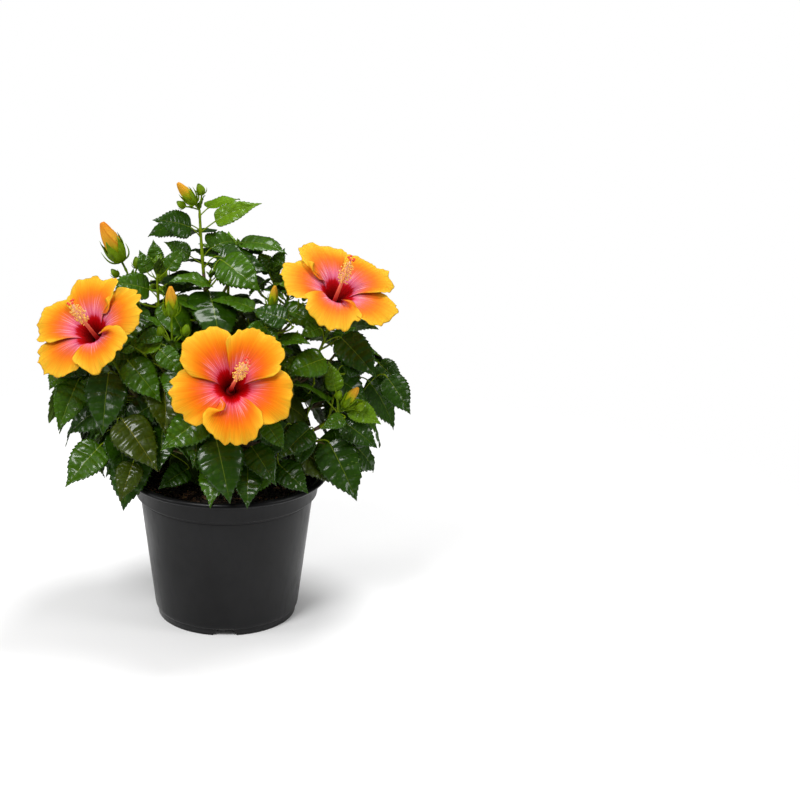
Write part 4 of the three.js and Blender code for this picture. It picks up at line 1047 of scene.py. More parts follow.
def maths(operation, *values):
    return put(tree_of(*values), "Math", dict(enumerate(values)), operation=operation).outputs[0]


def add(one, other):
    return maths("ADD", one, other)


def minus(one, other):
    return maths("SUBTRACT", one, other)


def times(one, other):
    return maths("MULTIPLY", one, other)


def off_from(value, middle):
    """How far a value is from a middle one, to either side."""
    return maths("ABSOLUTE", minus(value, middle))


def blended(share, one, other, **settings):
    inputs = {"Factor": share, 6: one, 7: other}
    return put(tree_of(share, one, other), "Mix", inputs, data_type="RGBA", **settings).outputs[2]


def between(value, low, high, to_low=0.0, to_high=1.0):
    inputs = {"Value": value, "From Min": low, "From Max": high, "To Min": to_low, "To Max": to_high}
    return put(value.id_data, "MapRange", inputs, interpolation_type="SMOOTHSTEP").outputs[0]


def ramp(value, stops):
    node = put(value.id_data, "ValToRGB", {"Fac": value})
    elements = node.color_ramp.elements
    while len(elements) < len(stops):
        elements.new(0.5)
    for element, (place, tint) in zip(elements, stops):
        element.position = place
        element.color = (*tint, 1)
    return node.outputs[0]


def noise(place, scale, detail, roughness=0.5):
    inputs = {"Vector": place, "Scale": scale, "Detail": detail, "Roughness": roughness}
    return put(place.id_data, "TexNoise", inputs).outputs[0]


def parts(vector):
    return put(vector.id_data, "SeparateXYZ", {0: vector}).outputs


def length_of(vector):
    return put(vector.id_data, "VectorMath", {0: vector}, operation="LENGTH").outputs["Value"]


def object_place(tree):
    return put(tree, "TexCoord").outputs["Object"]


def group(name, **inputs):
    """Makes a node group, built once, of a function that fills a shader tree, which then places the group.

    Its inputs are given with their kind or usual value, and the function names its outputs.
    """

    def wrap(fill):
        def build():
            tree = bpy.data.node_groups.new(name, "ShaderNodeTree")
            for label, value in inputs.items():
                kind = value if isinstance(value, str) else "NodeSocketFloat"
                socket = tree.interface.new_socket(label, in_out="INPUT", socket_type=kind)
                if kind != value:
                    socket.default_value = value
            made = fill(tree, tree.nodes.new("NodeGroupInput").outputs)
            for label, socket in made.items():
                tree.interface.new_socket(label, in_out="OUTPUT", socket_type=socket.bl_idname)
            result = tree.nodes.new("NodeGroupOutput").inputs
            for label, socket in made.items():
                tree.links.new(socket, result[label])
            return tree

        def placed(tree, **values):
            return put(tree, "Group", values, node_tree=bpy.data.node_groups.get(name) or build()).outputs

        return placed

    return wrap


@group("Blade pattern", Blade=VECTOR, Pairs=6.0, Quilting=16.0)
def blade_pattern(tree, given):
    """A blade's midrib, side veins and the quilting between them, from its own map, with the quilting's mask for
    painted shade in its hollows.
    """
    along, sideways, _ = parts(given["Blade"])
    off = off_from(sideways, 0.5)
    midrib_wide = between(along, 0.0, 1.0, 0.011, 0.003)
    midrib = between(off, times(midrib_wide, 0.5), midrib_wide, 1.0, 0.0)
    nearest = off_from(maths("FRACT", times(along, given["Pairs"])), 0.5)
    veins = times(between(nearest, 0.455, 0.49), between(off, 0.12, 0.36, 1.0, 0.15))
    cells = put(
        tree, "TexVoronoi", {"Vector": given["Blade"], "Scale": given["Quilting"]},
        feature="DISTANCE_TO_EDGE", voronoi_dimensions="2D",
    ).outputs["Distance"]
    # the quilting: 0 in its hollows, where the leaf materials paint shade, and 1 on its swells
    quilt = between(cells, 0.0, 0.32)
    rows = minus(1.0, maths("POWER", times(nearest, 2.0), 3.0))
    height = minus(add(times(quilt, 0.45), times(rows, 0.55)), times(midrib, 0.6))
    return {"Midrib": midrib, "Veins": veins, "Quilt shade": quilt, "Height": height}


@group("Mottle", Scale=60.0, One=COLOUR, Other=COLOUR)
def mottle(tree, given):
    """Soft blotches between two colours, with a value that follows them."""
    share = between(noise(object_place(tree), given["Scale"], 4.0, 0.6), 0.35, 0.68)
    return {"Colour": blended(share, given["One"], given["Other"]), "Value": share}


@group("Grain", Scale=900.0, Along=1.0)
def grain(tree, given):
    """Fine relief that may be drawn out along z."""
    stretch = put(tree, "CombineXYZ", {0: 1.0, 1: 1.0, 2: given["Along"]}).outputs[0]
    spot = put(tree, "VectorMath", {0: object_place(tree), 1: stretch}, operation="MULTIPLY").outputs[0]
    return {"Height": noise(spot, given["Scale"], 6.0, 0.65)}


@group("Petal pattern", Petal=VECTOR, Veins=26.0, Streaks=0.16, Seed=0.0)
def petal_pattern(tree, given):
    """Where a point of a petal lies between throat and edge, streaked along its veins."""
    sideways, out, _ = parts(given["Petal"])
    long = times(out, 1.3)

    def streaks(fan, detail):
        return noise(put(tree, "CombineXYZ", {0: fan, 1: long, 2: given["Seed"]}).outputs[0], 1.0, detail)

    streak = streaks(times(sideways, given["Veins"]), 3.0)
    thread = streaks(times(sideways, times(given["Veins"], 3.1)), 2.0)
    side = maths("ABSOLUTE", maths("MULTIPLY_ADD", sideways, 2.0, -1.0))
    edge = times(times(maths("POWER", side, 4.0), 0.1), between(out, 0.15, 0.6))
    shift = maths("MULTIPLY_ADD", streak, given["Streaks"], times(given["Streaks"], -0.5))
    wedge = add(thread, between(out, 0.26, 0.62, 0.03, -0.05))
    rays = times(between(wedge, 0.57, 0.7), between(out, 0.2, 0.33))
    rays = times(rays, between(out, 0.42, 0.75, 1.0, 0.0))
    return {"Place": add(add(out, edge), shift), "Rays": rays, "Threads": thread}


def material(name, roughness, **values):
    """A new material and its tree and shader, with what is the same all over set on the shader."""
    made = bpy.data.materials.new(name)
    made.use_nodes = True
    shader = made.node_tree.nodes["Principled BSDF"]
    shader.inputs["Roughness"].default_value = roughness
    for label, value in values.items():
        shader.inputs[label.replace("_", " ").title().replace("Ior", "IOR")].default_value = value
    return made, made.node_tree, shader


def link(shader, label, socket):
    socket.id_data.links.new(socket, shader.inputs[label])


def bump(shader, height, distance):
    inputs = {"Strength": 1.0, "Distance": distance * METRE, "Height": height}
    link(shader, "Normal", put(shader.id_data, "Bump", inputs).outputs[0])


def map_of(tree, name):
    return put(tree, "UVMap", uv_map=name).outputs[0]


def dimmed(tint, by):
    return tuple(part * by for part in tint)


def mixed(one, other, share):
    return tuple(mix(a, b, share) for a, b in zip(one, other))


def blade_material(name, flesh, vein, coat, quilting=11.0, roughness=0.38, relief=0.5):
    """A leaf's skin: flesh between paler veins, quilted, more or less glossy, with painted shade that darkens
    the flesh in the quilting's hollows.
    """
    made, tree, shader = material(
        f"leaf {name}", roughness, coat_weight=coat, coat_roughness=0.14, specular_ior_level=0.14,
    )
    pattern = blade_pattern(tree, Blade=map_of(tree, "blade"), Pairs=float(VEIN_PAIRS), Quilting=quilting)
    cloud = mottle(tree, Scale=45.0, One=dimmed(flesh, 0.72), Other=flesh)
    # painted shade: the flesh is darkened to 0.7 in the quilting's hollows, where the bump sinks
    deep = blended(pattern["Quilt shade"], dimmed(flesh, 0.7), cloud["Colour"])
    share = maths("MAXIMUM", pattern["Midrib"], times(pattern["Veins"], 0.13))
    link(shader, "Base Color", blended(share, deep, vein))
    link(shader, "Roughness", between(cloud["Value"], 0.0, 1.0, roughness - 0.05, roughness + 0.09))
    bump(shader, pattern["Height"], relief)
    return made


def mottled_material(name, one, other, scale, roughness, relief=0.15, fine=None, along=1.0, **values):
    """Two close colours in blotches under a fine relief, which may be drawn out along z."""
    made, tree, shader = material(name, roughness, **values)
    link(shader, "Base Color", mottle(tree, Scale=scale, One=one, Other=other)["Colour"])
    bump(shader, grain(tree, Scale=fine or scale * 6, Along=along)["Height"], relief)
    return made


def stem_material(name, one, other, scale, roughness, relief):
    """Bark or green rind, with its relief along the stem."""
    return mottled_material(name, one, other, scale, roughness, relief, 700.0, 0.35, specular_ior_level=0.14)


def petal_material(name, seed, stops, rays, strength):
    """A petal from crimson throat to golden edge, with pale rays."""
    made, tree, shader = material(
        name, 0.5, specular_ior_level=0.035, subsurface_weight=0.3, subsurface_scale=0.0015,
    )
    pattern = petal_pattern(tree, Petal=map_of(tree, "petal"), Seed=seed)
    base = blended(times(pattern["Rays"], strength), ramp(pattern["Place"], stops), rays)
    shade = between(pattern["Threads"], 0.35, 0.6, 0.85, 1.0)
    link(shader, "Base Color", blended(1.0, base, shade, blend_type="MULTIPLY"))
    bump(shader, pattern["Threads"], 0.5)
    return made


# Settings that a user may change

def tone(name, description, default):
    """A colour."""
    return bpy.props.FloatVectorProperty(
        name=name, description="Colour of " + description, subtype="COLOR", default=default, min=0, max=1)


def size(name, description, default, least, most):
    """A length in metres."""
    return bpy.props.FloatProperty(
        name=name, description=description, default=default, unit="LENGTH", min=least, max=most)


def power(name, description, default):
    """A light's strength in watts."""
    return bpy.props.FloatProperty(
        name=name, description=description, default=default, unit="POWER", min=0, max=500)


class ShrubPot(bpy.types.PropertyGroup):
    """The pot and its compost."""

    plastic: tone("Plastic", "the pot", (0.0034, 0.0034, 0.0038))
    dust: tone("Dust", "the dulled plastic", (0.0072, 0.0072, 0.0078))
    compost: tone("Compost", "the potting mix", (0.016, 0.009, 0.005))
    bark_chip: tone("Bark chips", "the palest chips", (0.25, 0.125, 0.055))
    chips: bpy.props.IntProperty(
        name="Chips", description="How many crumbs and chips lie on the compost", default=2600, min=0, max=8000)


class ShrubWood(bpy.types.PropertyGroup):
    """Trunk, boughs, twigs and stalks."""

    bark: tone("Bark", "the bark", (0.085, 0.052, 0.03))
    bark_pale: tone("Pale bark", "the bark's ridges", (0.2, 0.14, 0.09))
    green: tone("Green rind", "young stems", (0.17, 0.255, 0.003))
    relief: size("Bark relief", "Depth of the bark's ridges", 0.0005, 0, 0.002)


class ShrubLeaves(bpy.types.PropertyGroup):
    """The leaves."""

    dark: tone("Dark", "most leaves", (0.018, 0.06, 0.0001))
    middle: tone("Middle", "fresher leaves", (0.043, 0.118, 0.0003))
    young: tone("Young", "leaves at the tips", (0.115, 0.235, 0.0008))
    olive: tone("Olive", "the oldest leaves", (0.038, 0.062, 0.0002))
    under: tone("Underside", "the leaves' backs", (0.07, 0.13, 0.012))
    quilting: size("Quilting", "How far the flesh swells between the veins", 0.0019, 0, 0.004)
    thickness: size("Thickness", "Thickness of a blade", 0.00045, 0.0002, 0.002)


class ShrubBlooms(bpy.types.PropertyGroup):
    """The blooms and buds."""

    gold: tone("Gold", "the petals' edge", (0.73, 0.395, 0.022))
    orange: tone("Orange", "the petals' middle", (0.73, 0.175, 0.003))
    pink: tone("Pink", "the ring round the throat", (0.7, 0.055, 0.1))
    crimson: tone("Crimson", "the throat", (0.29, 0.0005, 0.0008))
    calyx: tone("Calyx", "the green cup", (0.135, 0.235, 0.0008))
    thickness: size("Thickness", "Thickness of a petal", 0.0005, 0.0002, 0.002)


class ShrubStage(bpy.types.PropertyGroup):
    """The floor and the lights."""

    floor: tone("Floor", "the floor", (0.86, 0.86, 0.86))
    key: power("Key light", "Strength of the large soft light", 46.0)
    fill: power("Fill light", "Strength of the lights at the sides", 16.0)
    sky: bpy.props.FloatProperty(
        name="Sky", description="Strength of the even light from all round", default=0.5, min=0, max=5)


# The pot and its compost

def pot_profile():
    """From the middle of the underside, out over the wall and lip, and down the inside."""
    collar, lip, floor = POT_HEIGHT - COLLAR_DEPTH, POT_HEIGHT - LIP_DEPTH, FOOT_HEIGHT + WALL
    low, high, rim, inner = BODY_FOOT_RADIUS, BODY_TOP_RADIUS, LIP_RADIUS, LIP_INNER_RADIUS
    groove = 0.55
    outside = (
        (FOOT_RADIUS + 0.9, FOOT_HEIGHT - 0.9), (low - 0.6, FOOT_HEIGHT + 0.6), (low + 0.35, FOOT_HEIGHT + 4.5),
        (high - 0.35, collar - 3.4), (high - groove, collar - 2.7), (high - 0.1, collar - 2.0), (high, collar),
        (COLLAR_RADIUS - 2, collar + 1.5), (COLLAR_RADIUS - 1.7, collar + 4), (COLLAR_RADIUS, lip - 2),
        (rim - 1.6, lip + 0.2), (rim, lip + 2), (rim - 0.6, POT_HEIGHT - 2), (rim - 3, POT_HEIGHT),
        (rim - 5.4, POT_HEIGHT - 0.2), (rim - 6.2, POT_HEIGHT - 1.3), (inner + 0.6, POT_HEIGHT - 1.5),
        (inner - 1.4, POT_HEIGHT - 3.2), (COLLAR_RADIUS - WALL, lip - 2), (COLLAR_RADIUS - 2 - WALL, collar + 3),
        (high - WALL, collar + 1), (low - WALL, floor + 2), (low - WALL - 2, floor), (0, floor),
    )
    skirt = FOOT_RADIUS - WALL
    foot = ((0, FOOT_HEIGHT), (skirt - 0.5, FOOT_HEIGHT), (skirt, 0), (FOOT_RADIUS, 0))
    return np.concatenate((foot, rounded((foot[-1], *outside), 1.4)[1:]))


def notch_height(angles):
    """How high the pot's foot is cut away at each angle."""
    cut = FOOT_HEIGHT - 1
    apart = np.mod(angles - NOTCH_TURN + math.pi / NOTCHES, TURN / NOTCHES) - math.pi / NOTCHES
    width = np.abs(apart) * FOOT_RADIUS
    return cut * np.clip((NOTCH_WIDTH_FOOT / 2 - width) / (NOTCH_WIDTH_FOOT - NOTCH_WIDTH_TOP) * 2, 0, 1)


def pot_angles():
    """Even steps round the pot, with further ones at the notches' corners."""
    corners = [
        NOTCH_TURN + TURN / NOTCHES * i + side * width / 2 / FOOT_RADIUS
        for i in range(NOTCHES) for width in (NOTCH_WIDTH_FOOT, NOTCH_WIDTH_TOP) for side in (-1, 1)
    ]
    return np.unique(np.round(np.mod(np.concatenate((even_turns(168), corners)), TURN), 5))


def plastic_material(settings):
    """Black moulded plastic with a little dust and fine scuffs, glossier where it is clean."""
    made, tree, shader = material("pot plastic", 0.4, specular_ior_level=0.2)
    cloud = mottle(tree, Scale=14.0, One=settings.plastic, Other=settings.dust)
    link(shader, "Base Color", cloud["Colour"])
    scuffs = between(grain(tree, Scale=210.0, Along=0.12)["Height"], 0.45, 0.7, 0.0, 0.1)
    link(shader, "Roughness", add(maths("MULTIPLY_ADD", cloud["Value"], 0.12, 0.3), scuffs))
    bump(shader, grain(tree, Scale=1500.0, Along=1.0)["Height"], 0.05)
    return made


class SHRUB_OT_pot(bpy.types.Operator):
    """Turns the pot, with its lip, collar, parting line and notched foot"""

    bl_idname = "shrub.pot"
    bl_label = "Pot"

    def execute(self, context):
        first, *rows, last = pot_profile()
        angles = pot_angles()
        body = np.array([[(r * math.cos(a), r * math.sin(a), z) for a in angles] for r, z in rows])
        body[1:3, :, 2] = np.maximum(body[1:3, :, 2], notch_height(angles))
        ends = ((0, 0, first[1]), (0, 0, last[1]))
        builder = Builder()
        builder.add(np.concatenate((body.reshape(-1, 3), ends)), end_faces(len(rows), len(angles)))
        builder.build("pot_shell", [plastic_material(context.scene.shrub_pot)], "pot", ["pot"])
        return {"FINISHED"}


def compost_body():
    """The compost's body with a lumpy top, a little lower at the wall."""
    rings = np.concatenate(((0.02,), np.linspace(0.04, 1, 46))) * SOIL_RADIUS
    angles = even_turns(150)
    circle = np.stack((np.cos(angles), np.sin(angles)), -1)
    flat = rings[:, None, None] * circle
    lumps = ripple(flat, 26, 3) * 1.5 + ripple(flat, 9, 4) * 0.9 + ripple(flat, 4, 5) * 0.5
    z = SOIL_TOP - 2.2 + lumps * np.clip((SOIL_RADIUS - rings) / 12, 0.2, 1)[:, None]
    floor = FOOT_HEIGHT + WALL + GAP
    foot = np.column_stack((circle * (BODY_FOOT_RADIUS - WALL - GAP - 2.7), np.full(len(angles), floor)))
    body = np.concatenate((np.dstack((flat, z)), foot[None]))
    ends = ((0, 0, float(z[0].mean())), (0, 0, floor))
    quads, caps = end_faces(len(body), len(angles))
    return np.concatenate((body.reshape(-1, 3), ends)), (quads[:, ::-1], caps[:, ::-1])


def chip_bodies(count, rng):
    """Crumbs, bark chips and fibres: small irregular boxes lying on the compost."""
    corner = np.array([(x, y, z) for z in (-1, 1) for y in (-1, 1) for x in (-1, 1)], float)
    faces = np.array(((0, 2, 3, 1), (4, 5, 7, 6), (0, 1, 5, 4), (2, 6, 7, 3), (0, 4, 6, 2), (1, 3, 7, 5)))
    for _ in range(count):
        radius = (SOIL_RADIUS - 3) * math.sqrt(rng.uniform(0.006, 1))
        turn = rng.uniform(0, TURN)
        kind = rng.uniform()
        size = rng.gamma(2.2, 0.55) + 0.5
        shape = np.array((1.0, rng.uniform(0.5, 1), rng.uniform(0.4, 0.9))) * size
        if kind > 0.78:
            shape = np.array((rng.uniform(2.2, 5.5), rng.uniform(1, 2.2), rng.uniform(0.35, 0.9)))
        elif kind > 0.7:
            shape = np.array((rng.uniform(4, 8), 0.3, 0.3))
        body = corner * shape * (1 + rng.uniform(-0.32, 0.32, (8, 1)))
        spin, lean, roll = rng.uniform(0, TURN), rng.normal(0, 0.32), rng.normal(0, 0.4)
        turned = Matrix.Rotation(spin, 3, "Z") @ Matrix.Rotation(lean, 3, "Y") @ Matrix.Rotation(roll, 3, "X")
        height = SOIL_TOP - 1.5 + rng.uniform(-0.6, 1.5)
        place = np.array((radius * math.cos(turn), radius * math.sin(turn), height))
        yield body @ np.array(turned).T + place, faces, int(rng.choice(4, p=(0.46, 0.3, 0.16, 0.08)))


class SHRUB_OT_compost(bpy.types.Operator):
    """Fills the pot with lumpy compost and strews bark chips over it"""

    bl_idname = "shrub.compost"
    bl_label = "Compost"

    def execute(self, context):
        settings = context.scene.shrub_pot
        shades = [mixed(settings.compost, settings.bark_chip, share) for share in (0.0, 0.1, 0.35, 1.0)]
        materials = [
            mottled_material(f"compost {i}", dimmed(shade, 0.7), dimmed(shade, 1.25), 260.0, 0.88, 0.4)
            for i, shade in enumerate(shades)
        ]
        builder = Builder()
        builder.add(*compost_body())
        builder.build("compost", materials[:1], "soil", ["soil"])
        chips = Builder()
        for body, sides, shade in chip_bodies(settings.chips, np.random.default_rng(12)):
            chips.add(body, (sides,), shade)
        chips.build("compost_chips", materials, "soil", flat=True)
        return {"FINISHED"}


# Trunk, boughs and twigs

def barked(curve, start, end, wide, slim, sides, steps, relief, seed, flare=0.0):
    """A limb with ridged bark: its radius changes round it and along it."""
    shares = evenly(steps)
    points = curve.at(mix(start, end, shares))
    radius = mix(wide, slim, shares) + flare * np.maximum(0, 1 - shares / FLARE_SHARE) ** 2
    angle = even_turns(sides)
    along, around = np.meshgrid(shares * path_length(points), angle, indexing="ij")
    spot = np.stack((np.cos(around) * 9, np.sin(around) * 9, along * 0.22), -1)
    ridges = ripple(spot, 3.2, seed) * 0.6 + ripple(spot, 8.0, seed + 1) * 0.7
    knots = np.maximum(0, ripple(np.stack((around * 2, along * 0.16), -1), 2.0, seed + 2) - 1.0) * 1.4
    fades = np.maximum(0, 1 - shares / (FLARE_SHARE * 1.6))[:, None] ** 2
    roots = flare * 0.28 * np.cos(around * 4 + 0.6) * fades
    return sweep(points, radius[:, None] - relief + relief * (ridges + knots) + roots, sides)


class SHRUB_OT_wood(bpy.types.Operator):
    """Grows the trunk and the boughs with their bark"""

    bl_idname = "shrub.wood"
    bl_label = "Trunk and boughs"

    def execute(self, context):
        settings = context.scene.shrub_wood
        relief = settings.relief / METRE
        bark = stem_material("bark", settings.bark, settings.bark_pale, 130.0, 0.82, 0.5)
        trunk = Builder()
        trunk.add(*barked(TRUNK, 0, 1, TRUNK_RADIUS, TRUNK_TIP_RADIUS, 48, 130, relief, 21, ROOT_FLARE))
        trunk.build("trunk_bark", [bark], "bark", ["trunk"])
        masses, _ = crown()
        boughs = Builder()
        for i, mass in enumerate(masses):
            start = 1.5 / mass.bough.length()
            boughs.add(*barked(
                mass.bough, start, BOUGH_SHARE, BOUGH_RADIUS, STEM_RADIUS, 20, 44, relief * 0.6, 40 + 3 * i,
            ))
        boughs.build("bough_bark", [bark], "bark", [f"bough_{mass.name}" for mass in masses])
        return {"FINISHED"}


def stalk_body(leaf):
    """A leaf's stalk, which bends into the blade's midrib and is thicker at both ends."""
    reach, leave = norm(leaf.foot - leaf.root), unit(leaf.foot - leaf.root)
    bend = leaf.foot - leaf.way * reach * 0.3 + leave * reach * 0.06
    shares = evenly(9)
    points = Curve(leaf.root, bend, leaf.foot + leaf.way * 1.5).at(shares)
    swell = 1 + 0.45 * np.exp(-((shares - 0.06) / 0.06) ** 2) + 0.3 * np.exp(-((shares - 0.93) / 0.07) ** 2)
    radius = STALK_RADIUS * mix(0.72, 1.0, within(leaf.length / LEAF_LONG)) * swell
    return sweep(points, radius, 7)


def twig_body(curve, wide, slim, leaves, seed):
    """A twig with a knuckle at each leaf."""
    shares = evenly(max(10, int(curve.length() / 2.6)))
    points = curve.at(shares)
    radius = mix(wide, slim, shares)
    for leaf in leaves:
        radius = radius + 0.55 * np.exp(-((norm(points - leaf.root, axis=1) / 2.0) ** 2))
    return sweep(points, radius * (1 + 0.04 * ripple(points, 5, seed)), 10)


class SHRUB_OT_twigs(bpy.types.Operator):
    """Grows each mass's stem, twigs, spurs and leaf stalks"""

    bl_idname = "shrub.twigs"
    bl_label = "Twigs and stalks"

    def execute(self, context):
        settings = context.scene.shrub_wood
        bark, green = settings.bark, settings.green
        materials = [
            stem_material("twig bark", bark, settings.bark_pale, 170.0, 0.75, 0.25),
            stem_material("twig half green", mixed(bark, green, 0.45), bark, 120.0, 0.6, 0.15),
            stem_material("twig green", green, dimmed(green, 0.7), 90.0, 0.45, 0.08),
        ]
        masses, _ = crown()
        for number, mass in enumerate(masses):
            builder = Builder()
            for i, twig in enumerate(mass.twigs):
                start = twig.start + (GAP / twig.curve.length() if i == 0 else 0)
                grown = 1 if twig.tip.old else 2
                split = mix(start, 1, 0.5)
                middle = mix(twig.wide, TIP_RADIUS, 0.5)
                low, high = twig.curve.part(start, split), twig.curve.part(split, 1.0)
                builder.add(*twig_body(low, twig.wide, middle, twig.leaves, number), 0 if i == 0 else 1)
                builder.add(*twig_body(high, middle, TIP_RADIUS, twig.leaves, number + 7), grown)
                for spur in twig.spurs:
                    rod = twig_body(spur.curve, TIP_RADIUS * 0.9, TIP_RADIUS * 0.6, spur.leaves, 3)
                    builder.add(*rod, grown)
                for leaf in twig.all_leaves():
                    builder.add(*stalk_body(leaf), 2)
            builder.build(f"twigs_{mass.name}", materials, "bark")
        return {"FINISHED"}


# Leaves

VEIN_PAIRS = 6
TEETH = 13
ROWS_A_TOOTH = 3
BLADE_ROWS = TEETH * ROWS_A_TOOTH
BLADE_SIDES = np.array((-1, -0.87, -0.68, -0.46, -0.24, -0.07, 0, 0.07, 0.24, 0.46, 0.68, 0.87, 1))
TOOTH_DEPTH = 0.09
VEIN_SLANT = 0.17
UNDER_SLOT = 4
BLADE_CELLS = 8  # blades side by side in the map that a bake uses


@functools.lru_cache(maxsize=1)
def blade_layout():
    """Where a blade's points lie, in shares of its length: along, across, and the vein that they are on."""
    row = np.arange(1, BLADE_ROWS)
    vein = row / BLADE_ROWS
    at_edge = vein + VEIN_SLANT * np.sqrt(vein) * (1 - vein)
    tooth = (row % ROWS_A_TOOTH) / (ROWS_A_TOOTH - 1)
    ease = smooth((at_edge - 0.1) / 0.12) * smooth((1.02 - at_edge) / 0.14)
    side = np.abs(BLADE_SIDES)
    edge = side > 0.99
    along = vein[:, None] + (at_edge - vein)[:, None] * side**1.35 + np.outer(tooth * ease * 0.018, edge)
    half = LEAF_WIDTH * half_width(at_edge) * (1 - 0.34 * smooth((at_edge - 0.68) / 0.24))
    across_by = half[:, None] * BLADE_SIDES * (1 + np.outer((tooth - 0.5) * ease * TOOTH_DEPTH, edge))
    return along, across_by, np.broadcast_to(vein[:, None], along.shape)


def blade_body(leaf, rng, quilting, thick):
    """One blade: bent, folded, waved at its edge, quilted between its veins and toothed."""
    along, sideways, vein = blade_layout()
    length, side = leaf.length, np.abs(BLADE_SIDES)
    bend = LEAF_BEND * rng.uniform(0.8, 1.35)
    fold = LEAF_FOLD * rng.uniform(0.7, 1.5)
    wave = length * rng.uniform(0.014, 0.034)
    turns = rng.uniform(1.4, 2.6)
    phases = rng.uniform(0, TURN, 2)
    twist = rng.normal(0, 0.16)
    width = length * leaf.slim * rng.uniform(0.94, 1.06)
    angle = (bend * along**1.15)[..., None]
    off = width * sideways
    rise = np.abs(off) * math.tan(fold) - off**2 / length * rng.uniform(0.35, 0.95)
    phase = np.where(BLADE_SIDES < 0, *phases)
    edge = side**1.8 * np.sin(math.pi * np.clip(along, 0, 1)) ** 0.5
    rise += wave * edge * np.sin(TURN * turns * along + phase)
    pillow = np.abs(np.sin(math.pi * VEIN_PAIRS * vein)) ** 0.6
    span = np.sin(math.pi * np.clip(side * 0.86 + 0.06, 0, 1)) ** 0.7
    rise += quilting * length / LEAF_LONG * (pillow - 0.5) * span * smooth(along * 4)
    small = ripple(np.stack((along * 9, sideways * 9), -1), 0.5, int(rng.integers(1 << 30)), 8)
    rise += quilting * 0.42 * small * span
    lean = twist * along
    middle = leaf.spine(angle, bend) + np.cross(leaf.way, leaf.face) * (off * np.cos(lean))[..., None]
    middle = middle + leaf.facing(angle) * (rise + off * np.sin(lean))[..., None]
    upper, lower = (skin.reshape(-1, 3) for skin in two_skins(middle, thick))
    return np.concatenate((upper, lower, (leaf.foot, leaf.spine(bend, bend))))


def two_skins(middle, thick):
    """A blade's upper and lower grid, which meet at its edge."""
    normal = -normals(middle)
    half = np.full(middle.shape[1], thick / 2)
    half[[0, -1]] = 0
    half[len(half) // 2] *= 1.6
    return middle + normal * half[:, None], (middle - normal * half[:, None])[:, 1:-1]


@functools.lru_cache(maxsize=1)
def blade_faces():
    """The faces of a blade's upper and lower skin, with a point at its foot and one at its tip."""
    rows, columns = BLADE_ROWS - 1, len(BLADE_SIDES)
    count = rows * columns
    upper = np.arange(count).reshape(rows, columns)
    lower = upper.copy()
    lower[:, 1:-1] = count + np.arange(rows * (columns - 2)).reshape(rows, -1)
    foot = count + rows * (columns - 2)

    def skin(at, step):
        low = np.stack((np.full(columns - 1, foot), at[0, 1:], at[0, :-1]), -1)
        high = np.stack((np.full(columns - 1, foot + 1), at[-1, :-1], at[-1, 1:]), -1)
        return at.ravel()[grid_faces(rows, columns)][:, ::step], np.concatenate((low, high))[:, ::step]

    return *skin(upper, 1), *skin(lower, -1)


def blade_maps(cell):
    """A blade's own map, and its place among the other blades in the map for a bake."""
    along, sideways, vein = blade_layout()

    def flat(places):
        grid = np.stack((places, 0.5 + sideways), -1)
        return np.concatenate((grid.reshape(-1, 2), grid[:, 1:-1].reshape(-1, 2), ((0.0, 0.5), (1.0, 0.5))))

    return flat(vein), (flat(along) * 0.94 + 0.03 + (cell % BLADE_CELLS, cell // BLADE_CELLS)) / BLADE_CELLS


def add_blade(builder, leaf, rng, settings, slot, cell):
    points = blade_body(leaf, rng, settings.quilting / METRE, settings.thickness / METRE)
    own, packed = blade_maps(cell)
    builder.add(points, blade_faces(), (slot, slot, UNDER_SLOT, UNDER_SLOT), blade=own, OFBake=packed)


def leaf_slot(leaf, rng):
    """Which colour a leaf takes: young ones are bright, old ones dark or olive."""
    if leaf.age < 0.05:
        return 2
    if leaf.age < 0.2:
        return int(rng.choice((1, 2), p=(0.6, 0.4)))
    if leaf.age < 0.75:
        return int(rng.choice((0, 1), p=(0.3, 0.7)))
    return int(rng.choice((0, 1, 3), p=(0.58, 0.28, 0.14)))


def tip_leaves(twig, rng):
    """The last, still folded leaves round a young tip."""
    end, way = twig.curve.at(1.0), twig.curve.way(1.0)
    for i in range(7 if twig.rosette else 4):
        turn = 2.4 * i + rng.uniform(0, 1)
        out = np.array((math.cos(turn), math.sin(turn), 0.0))
        rise = unit(way + UP * 0.9 + out * rng.uniform(0.25, 0.8))
        length = rng.uniform(13, 27) if twig.rosette else rng.uniform(9, 18)
        yield Leaf(end, end + rise * length * 0.16, rise, unit(across(-out, rise)), length, -1, 0.0, 0.68)


class SHRUB_OT_leaves(bpy.types.Operator):
    """Unfolds the leaves of each mass"""

    bl_idname = "shrub.leaves"
    bl_label = "Leaves"

    def execute(self, context):
        settings = context.scene.shrub_leaves
        materials = [
            blade_material("dark", settings.dark, (0.1, 0.15, 0.008), 0.4),
            blade_material("middle", settings.middle, (0.14, 0.21, 0.01), 0.36),
            blade_material("young", settings.young, (0.22, 0.36, 0.012), 0.26, 10.0, 0.4, 0.45),
            blade_material("olive", settings.olive, (0.14, 0.14, 0.008), 0.34),
            blade_material("back", settings.under, (0.14, 0.24, 0.05), 0.0, 11.0, 0.55, 0.4),
        ]
        masses, _ = crown()
        for number, mass in enumerate(masses):
            rng = np.random.default_rng(900 + number)
            builder = Builder()
            cells = itertools.cycle(range(BLADE_CELLS**2))
            for twig in mass.twigs:
                young = () if twig.tip.old else tip_leaves(twig, rng)
                for leaf in (*twig.all_leaves(), *young):
                    add_blade(builder, leaf, rng, settings, leaf_slot(leaf, rng), next(cells))
            builder.build(f"leaves_{mass.name}", materials, "leaves", [f"mass_{mass.name}"])
        return {"FINISHED"}


# Buds and the green cups

